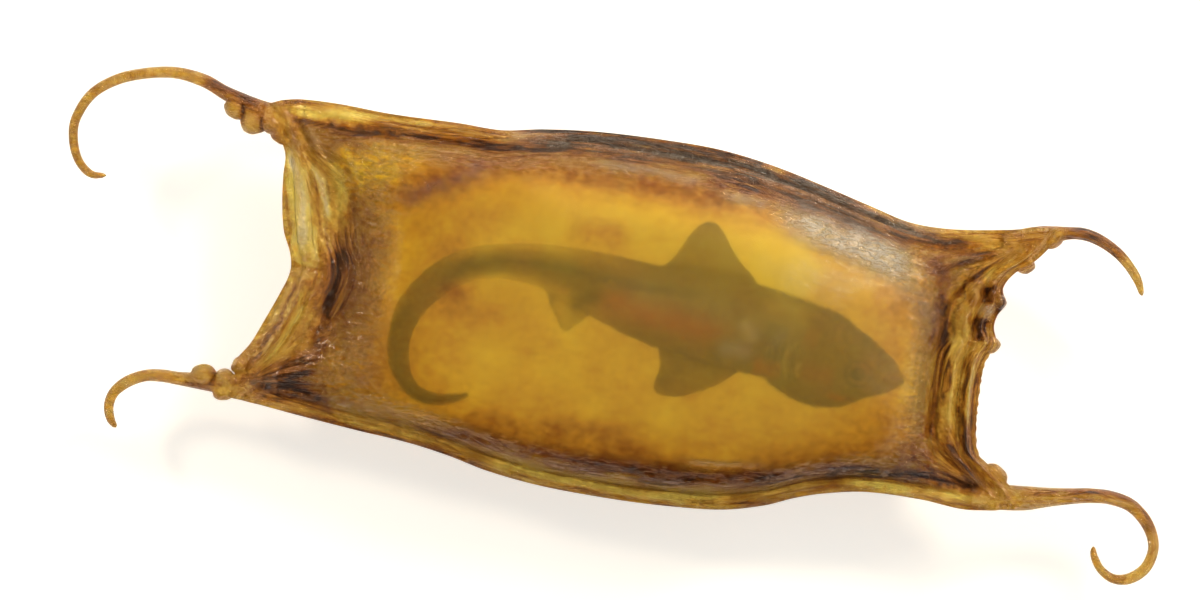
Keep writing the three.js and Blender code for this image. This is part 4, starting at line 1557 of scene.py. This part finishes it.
@dataclass(frozen=True)
class Fin:
    """A flat fin: its outline from the flank, and its level above the middle of the trunk."""

    outline: Pairs
    level: float
    half_thickness: float = 0.55

    def build(self, height: float) -> bpy.types.Object:
        """Makes the fin, thickest in the middle and thin at its edge.

        Args:
            height: Height of the middle of the trunk.

        Returns:
            The fin.
        """
        fin = ball("fin", 56, 12, MM)
        points = mesh_points(fin.data)
        turns = np.mod(np.arctan2(points[:, 1], points[:, 0]) / math.tau, 1)
        around = turns * len(self.outline)
        closed = np.array([*self.outline, self.outline[0]], float)
        edge = np.stack([Curve(list(enumerate(closed[:, axis])))(around) for axis in (0, 1)], 1)
        middle = np.mean(closed[:-1], axis=0)
        out = np.hypot(points[:, 0], points[:, 1])[:, None]
        plan = middle + out * (edge - middle)
        z = height + self.level + points[:, 2] * self.half_thickness
        place_points(fin.data, np.column_stack([plan, z]))
        face_outwards(fin)
        return fin


@dataclass
class Embryo:
    """The small shark in the case: head, trunk, curled tail, fins and eyes."""

    form: CaseForm
    finish: EmbryoFlesh = EmbryoFlesh()
    trunk_level: float = 10.4
    clearance: float = 0.65
    sides: int = 40
    steps: int = 180
    voxel: float = 0.32
    stations: tuple[tuple[float, float, float, float], ...] = (
        # Place along and across, half depth from back to belly, half breadth.
        (38.7, -2.9, 0.5, 0.7), (37.3, -2.7, 1.8, 2.2), (35.2, -2.4, 3.2, 3.9),
        (32.5, -2.1, 4.8, 4.9), (29.5, -2, 6.3, 5.8), (26.5, -1.5, 7, 6.2),
        (23.5, -0.6, 6.9, 6), (20.5, 0.5, 6.3, 5.5), (17, 0.9, 6.4, 5.3), (12, 1.4, 6.4, 5.2),
        (6, 1.8, 6.2, 5), (0, 2.5, 5.5, 4.5), (-5, 3.5, 4.8, 3.9), (-10, 4.5, 3.9, 3.2),
        (-15, 5.1, 3.1, 2.6), (-20, 4.9, 2.5, 2.1), (-24.2, 4, 2.3, 1.9),
        (-27.7, 2.1, 2.3, 1.7), (-30.6, -0.7, 2.2, 1.5), (-32.6, -4, 2, 1.35),
        (-33.4, -7.5, 1.75, 1.2), (-33.2, -11, 1.6, 1.1), (-31.7, -14.2, 1.3, 1),
        (-29.4, -15.8, 1.1, 0.9), (-26.8, -16.1, 1, 0.8), (-24.4, -15.5, 0.8, 0.65),
        (-22.4, -14.6, 0.4, 0.35),
    )
    fins: tuple[Fin, ...] = (
        Fin(((0.5, 6.5), (3, 9), (5, 13), (6.4, 14.8), (8, 15.3), (9.7, 14.4), (12, 11.3),
             (15.5, 6.5)), 0.4),
        Fin(((16.5, -4), (13, -7.3), (8.5, -9.8), (5.3, -10.5), (3.6, -10), (3.2, -9),
             (3.7, -6.6), (4.2, -2.5)), 1.4),
        Fin(((-5, 2), (-7.2, -0.8), (-9.4, -3.2), (-10.5, -3.8), (-11.6, -2.6), (-13.5, 0.6),
             (-14, 4)), 0.2),
    )
    eye_place: tuple[float, float] = (31.8, -2.8)
    eye_radius: float = 1.6
    eye_bulge: float = 0.2
    eye_station: int = 3
    pupil_span: tuple[float, float] = (0.75, 1.25)
    # Rings round the pupil: the mark, its radius, its width and its strength.
    eye_rings: tuple[tuple[str, float, float, float], ...] = (
        ("blue", 1.4, 0.35, 0.7), ("light", 1.45, 0.2, 0.22), ("eye", 1.8, 0.35, 0.5),
    )
    flesh_sheer: float = 0.56
    edge_sheer: float = 0.4
    mouth: Pairs = ((35.6, -5.0), (34.2, -6.0), (32.6, -6.7), (31.0, -6.6))
    blush: tuple[Stroke, ...] = (
        Stroke([(-9, 2.8), (-1, 1), (5, 0.2), (11, -0.4), (15, -1)], 2.2, 0.85),
        Stroke([(16.6, -4.2), (19, -4.2), (21.2, -4)], 1.2, 0.7, 0.15),
        Stroke([(23, -3.4), (26, -4), (29, -3.6)], 1.5, 0.4),
        Stroke([(23, 1.4), (25.6, 0.8)], 1.4, 0.3),
        Stroke([(27.4, -6.4), (30, -6.7), (32.6, -6.5)], 0.5, 0.7),
    )
    blue: tuple[Stroke, ...] = (
        Stroke([(10, -3), (13, -2.2), (15.6, -2), (17.4, -3.4)], 1.3, 0.95, 0.2),
        Stroke([(13.4, 2.2), (16, 0.6), (17.4, -1)], 0.9, 0.5),
        Stroke([(-8, 4.6), (-3, 4.4), (2, 4.6)], 0.9, 0.4),
    )
    light: tuple[Stroke, ...] = (
        Stroke([(22.2, 0.6), (21.3, -1.6), (21.2, -3.6), (22, -5.6)], 0.35, 0.95),
        Stroke([(23.4, -2.4), (22.8, -3.8), (23.4, -5)], 0.3, 0.8),
        Stroke([(14.2, 2.6), (15.4, 0.8), (16.4, -1.4)], 0.9, 0.3),
        Stroke([(16, 4.6), (21, 4.6), (25, 3.4)], 1.6, 0.4),
        Stroke([(-2, 7.5), (-12, 7.4), (-20, 6.6), (-26, 4.6)], 1.2, 0.45, 0.1),
        Stroke([(-14, 3.6), (-22, 2.8), (-27.4, 0.6)], 1.2, 0.4),
    )
    dark: tuple[Stroke, ...] = (
        Stroke([(9, 4.6), (-1, 4.4), (-8, 4.8), (-15, 5.3), (-21, 4.9), (-26, 3), (-29.6, -0.6)],
               0.8, 0.4, 0.12),
        Stroke([(-32, -2), (-34.2, -6.6), (-34.2, -10), (-32.8, -14), (-30, -16.4), (-26, -16.8)],
               0.7, 0.45, 0.15),
        Stroke([(16.6, 1.6), (18.6, 0.8), (21.4, 0.6)], 1.7, 0.4),
        Stroke([(19.6, 0.6), (20, -2), (20, -3.4)], 0.9, 0.25),
        Stroke([(21, -6.4), (26, -8.2), (31, -7.4)], 0.9, 0.3),
        Stroke([(24, 5.6), (30, 3.6), (35, 0.4), (38.4, -2.6)], 0.9, 0.3),
        Stroke([(-5, 3), (-8, 1.6), (-11, -0.6)], 1.3, 0.45),
        Stroke([(-11.6, 2), (-13.6, -0.2), (-12.4, -2.6), (-10.4, -3.4)], 0.9, 0.35),
        Stroke([(6.4, 14.8), (8, 15), (9.8, 14.2)], 0.8, 0.25),
        Stroke([(4.4, -9.8), (5.4, -7.4), (7.6, -5.2)], 1.3, 0.3),
    )
    gills: tuple[Pairs, ...] = tuple(
        ((22.9 - 0.85 * k, -5.2 + 0.25 * k), (22.2 - 0.9 * k, -2.9),
         (22.5 - 0.9 * k, -0.4 + 0.1 * k))
        for k in range(5)
    )
    gill_station: int = 6
    nostril: tuple[float, float] = (36.2, -3.7)
    mouth_depth: float = 0.55
    nostril_depth: float = 0.4
    gill_depth: float = 0.3
    # The chest fin of the far flank, under the trunk: its middle, half sizes and lean in degrees.
    far_fin: tuple[Sequence[float], Sequence[float], float] = ((9, -3.4, 5.2), (3, 0.8, 4.6), 32)

    def _height(self, station: tuple[float, float, float, float]) -> float:
        """Height of the middle of the body at a station, just under the upper skin.

        Args:
            station: The station.

        Returns:
            The height.
        """
        x, y, half_depth, half_breadth = station
        across = y + 0.6 * half_depth * np.array([-1.0, 0.0, 1.0])
        skin = float(np.min(self.form.body_rise(np.full(3, x), across)))
        return min(self.trunk_level, self.form.mid_height + skin - self.clearance - half_breadth)

    def _body(self) -> bpy.types.Object:
        """Head, trunk and tail in one tapering bar.

        Returns:
            The bar.
        """
        bar = straight_bar("embryo_visual", self.sides, self.steps)
        points = np.array([(s[0], s[1], self._height(s)) for s in self.stations])
        depth = Curve([(i, s[2]) for i, s in enumerate(self.stations)])
        breadth = Curve([(i, s[3]) for i, s in enumerate(self.stations)])
        last = len(self.stations) - 1

        def sizes(share: Array, angle: Array) -> tuple[Array, Array]:
            """Half depths and half breadths, which are the same all round."""
            return depth(share * last), breadth(share * last)

        bend_bar(bar, Line(points), sizes)
        return bar

    def _ball(
        self, middle: Sequence[float], sizes: Sequence[float], lean: float = 0.0
    ) -> bpy.types.Object:
        """A ball with its own half sizes, leaned about Y.

        Args:
            middle: Its middle.
            sizes: Half sizes along, across and up.
            lean: Its lean, in degrees.

        Returns:
            The ball.
        """
        placed = (
            Matrix.Translation(Vector(middle) * MM)
            @ Matrix.Rotation(math.radians(lean), 4, "Y")
            @ Matrix.Diagonal((*sizes, 1))
        )
        return ball("ball", 32, 18, MM, placed)

    def _add_ons(self) -> list[bpy.types.Object]:
        """Fins on the back, at the chest and at the hips, and the two eyes.

        Returns:
            All of them.
        """
        parts = [fin.build(self.trunk_level) for fin in self.fins]
        parts.append(self._ball(*self.far_fin))
        station = self.stations[self.eye_station]
        reach = station[3] + self.eye_bulge - self.eye_radius
        for side in (-1, 1):
            middle = (*self.eye_place, self._height(station) + side * reach)
            parts.append(self._ball(middle, (self.eye_radius,) * 3))
        return parts

    def _carve(self, mesh: bpy.types.Mesh) -> None:
        """Presses the mouth, nostrils and gill slits into both flanks.

        Args:
            mesh: The mesh of the embryo.
        """
        points = mesh_points(mesh)
        x, y = points[:, 0], points[:, 1]
        level = self._height(self.stations[self.gill_station])
        inward = -np.sign(points[:, 2] - level)
        to_nostril = np.hypot(x - self.nostril[0], y - self.nostril[1])
        press = self.mouth_depth * bump(distance_to_path(x, y, self.mouth)[0], 0.0, 0.35)
        press += self.nostril_depth * bump(to_nostril, 0.0, 0.35)
        for gill in self.gills:
            press += self.gill_depth * bump(distance_to_path(x, y, gill)[0], 0.0, 0.22)
        points[:, 2] += inward * press
        place_points(mesh, points)

    def _thin(self, x: Array, y: Array) -> Array:
        """How thin the flesh is, which it is in the tail's margins.

        Args:
            x: Places along.
            y: Places across.

        Returns:
            The thinness at each place, from 0 to 1.
        """
        corners = np.array(self.stations)[:, :2]
        steps = np.linalg.norm(np.diff(corners, axis=0), axis=1)
        lengths = np.concatenate([[0], np.cumsum(steps)])
        off, share = distance_to_path(x, y, corners)
        depths = [station[2] for station in self.stations]
        half_depth = Curve(list(zip(lengths / lengths[-1], depths)))(share)
        in_fin = smoothstep(off / half_depth, 1.0, 1.25)
        margin = smoothstep(off / half_depth, 0.2, 0.95) * smoothstep(-x, -2.0, 14.0)
        return np.maximum(0.35 * in_fin, margin * (1 - 0.75 * smoothstep(-x, 25.0, 30.0)))

    def _paint(self, mesh: bpy.types.Mesh) -> None:
        """Stores where the flesh is reddish, blue, pale, dark, sheer or part of an eye.

        Args:
            mesh: The mesh of the embryo.
        """
        points = mesh_points(mesh)
        x, y = points[:, 0], points[:, 1]
        to_eye = np.hypot(x - self.eye_place[0], y - self.eye_place[1])
        pupil = 1 - smoothstep(to_eye, *self.pupil_span)
        marks = {
            name: np.clip(sum(stroke.weight(x, y) for stroke in strokes), 0, 1)
            for name, strokes in (("blush", self.blush), ("blue", self.blue),
                                  ("light", self.light), ("line", self.dark))
        }
        gill = sum(bump(distance_to_path(x, y, gill)[0], 0.0, 0.3) for gill in self.gills)
        mouth = bump(distance_to_path(x, y, self.mouth)[0], 0.0, 0.4)
        marks["line"] = np.clip(marks["line"] + 0.3 * gill + 0.7 * mouth, 0, 1)
        marks["eye"] = 0.95 * pupil
        for name, radius, width, strength in self.eye_rings:
            marks[name] = np.maximum(marks[name], strength * bump(to_eye, radius, width))
        thin = self._thin(x, y)
        marks["light"] = np.maximum(marks["light"], 0.8 * thin)
        marks["sheer"] = (self.flesh_sheer + self.edge_sheer * thin) * (1 - 0.5 * marks["line"])
        marks["sheer"] *= 1 - 0.85 * marks["eye"]
        for name, values in marks.items():
            set_attribute(mesh, name, values)

    def build(self) -> bpy.types.Object:
        """Builds and dresses the embryo.

        Returns:
            The embryo, riding on the root body in place of the solid.
        """
        embryo = self._body()
        combine(embryo, self._add_ons(), Joint.GROWN_ON)
        remesh = embryo.modifiers.new("Even skin", "REMESH")
        remesh.mode, remesh.voxel_size = "VOXEL", self.voxel * MM
        smooth = embryo.modifiers.new("Soft joins", "SMOOTH")
        smooth.factor, smooth.iterations = 0.5, 5
        settle_modifiers(embryo)
        self._carve(embryo.data)
        self._paint(embryo.data)
        dress(embryo, self.finish.material())
        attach(embryo, "root")
        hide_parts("embryo")
        return embryo


# ---- the studio -----------------------------------------------------------------------------


@dataclass(frozen=True)
class Studio:
    """Floor, light and the camera that looks straight down on the case."""

    frame_width: float = 172.2
    lens: float = 100.0
    sensor: float = 36.0
    turn: float = 9.3
    middle: tuple[float, float] = (-6.08, 1.62)
    seam_height: float = CaseForm.mid_height
    floor_gap: float = 0.05
    floor_radius: float = 4.0
    floor_cells: int = 30
    rim_height: float = 0.5
    dim_air: str = "302c24"
    bright_air: str = "fff6ea"
    air_strength: float = 1.4
    lamp_colour: str = "fff0d6"
    bright_way: tuple[float, float, float] = (0.75, 0.65, 0.1)
    # Soft lights: name, place and sides in metres, power in watts.
    lamps: tuple[tuple[str, Sequence[float], Sequence[float], float], ...] = (
        ("back", (0.46, 0.60, 0.42), (0.22, 0.15), 4.8),
        ("left", (-0.62, 0.34, 0.42), (0.16, 0.12), 2.6),
    )
    floor: StudioFloor = StudioFloor()

    def camera(self) -> None:
        """Places the camera over the case."""
        distance = self.frame_width * self.lens / self.sensor
        data = bpy.data.cameras.new("camera")
        data.lens, data.sensor_width, data.clip_start = self.lens, self.sensor, 0.01
        eye = bpy.data.objects.new("camera", data)
        height = self.seam_height + distance
        eye.location = (self.middle[0] * MM, self.middle[1] * MM, height * MM)
        eye.rotation_euler = (0, 0, math.radians(self.turn))
        bpy.context.collection.objects.link(eye)
        bpy.context.scene.camera = eye

    def surroundings(self) -> None:
        """Lays the floor and lights it."""
        build = bmesh.new()
        cells = 2 * self.floor_cells
        bmesh.ops.create_grid(build, x_segments=cells, y_segments=cells, size=self.floor_radius)
        for vert in build.verts:
            out = float(smoothstep(vert.co.length, 0.8 * self.floor_radius, self.floor_radius))
            vert.co.z = self.rim_height * out - self.floor_gap * MM
        floor = new_object("floor", build)
        floor.data.materials.append(self.floor.material())
        world = bpy.data.worlds.new("studio_air")
        air = Tree(world)
        side = air.add("VectorMath", {0: air.add("TexCoord", output="Generated"),
                                      1: self.bright_way}, output="Value",
                       operation="DOT_PRODUCT")
        colour = air.add("ValToRGB", {"Fac": side}, stops=(
            (0, self.dim_air), (0.35, self.dim_air), (0.9, self.bright_air), (1, self.bright_air),
        ))
        glow = air.add("Background", {"Color": colour, "Strength": self.air_strength})
        air.add("OutputWorld", {"Surface": glow})
        bpy.context.scene.world = world
        bpy.context.scene.view_settings.view_transform = "Standard"
        for lamp in self.lamps:
            self._lamp(*lamp)

    def _lamp(
        self, name: str, at: Sequence[float], sizes: Sequence[float], power: float
    ) -> None:
        """One oblong soft light, aimed at the case.

        Args:
            name: The light's name.
            at: Its place, in metres.
            sizes: Its sides, in metres.
            power: Its power, in watts.
        """
        data = bpy.data.lights.new(name, "AREA")
        data.shape, data.energy = "RECTANGLE", power
        data.size, data.size_y = sizes
        data.color = linear(self.lamp_colour)[:3]
        lamp = bpy.data.objects.new(name, data)
        lamp.location = at
        lamp.rotation_euler = (-Vector(at)).to_track_quat("-Z", "Y").to_euler()
        bpy.context.collection.objects.link(lamp)


def main() -> None:
    """Builds the camera, the case, the embryo and the studio."""
    logging.basicConfig(level=logging.INFO, format="%(name)s: %(message)s")
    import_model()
    Studio().camera()
    form = CaseForm()
    for piece in (EggCase(form).build(), Embryo(form).build()):
        LOG.info("%s: %d faces", piece.name, len(piece.data.polygons))
    Studio().surroundings()


if __name__ == "__main__":
    main()
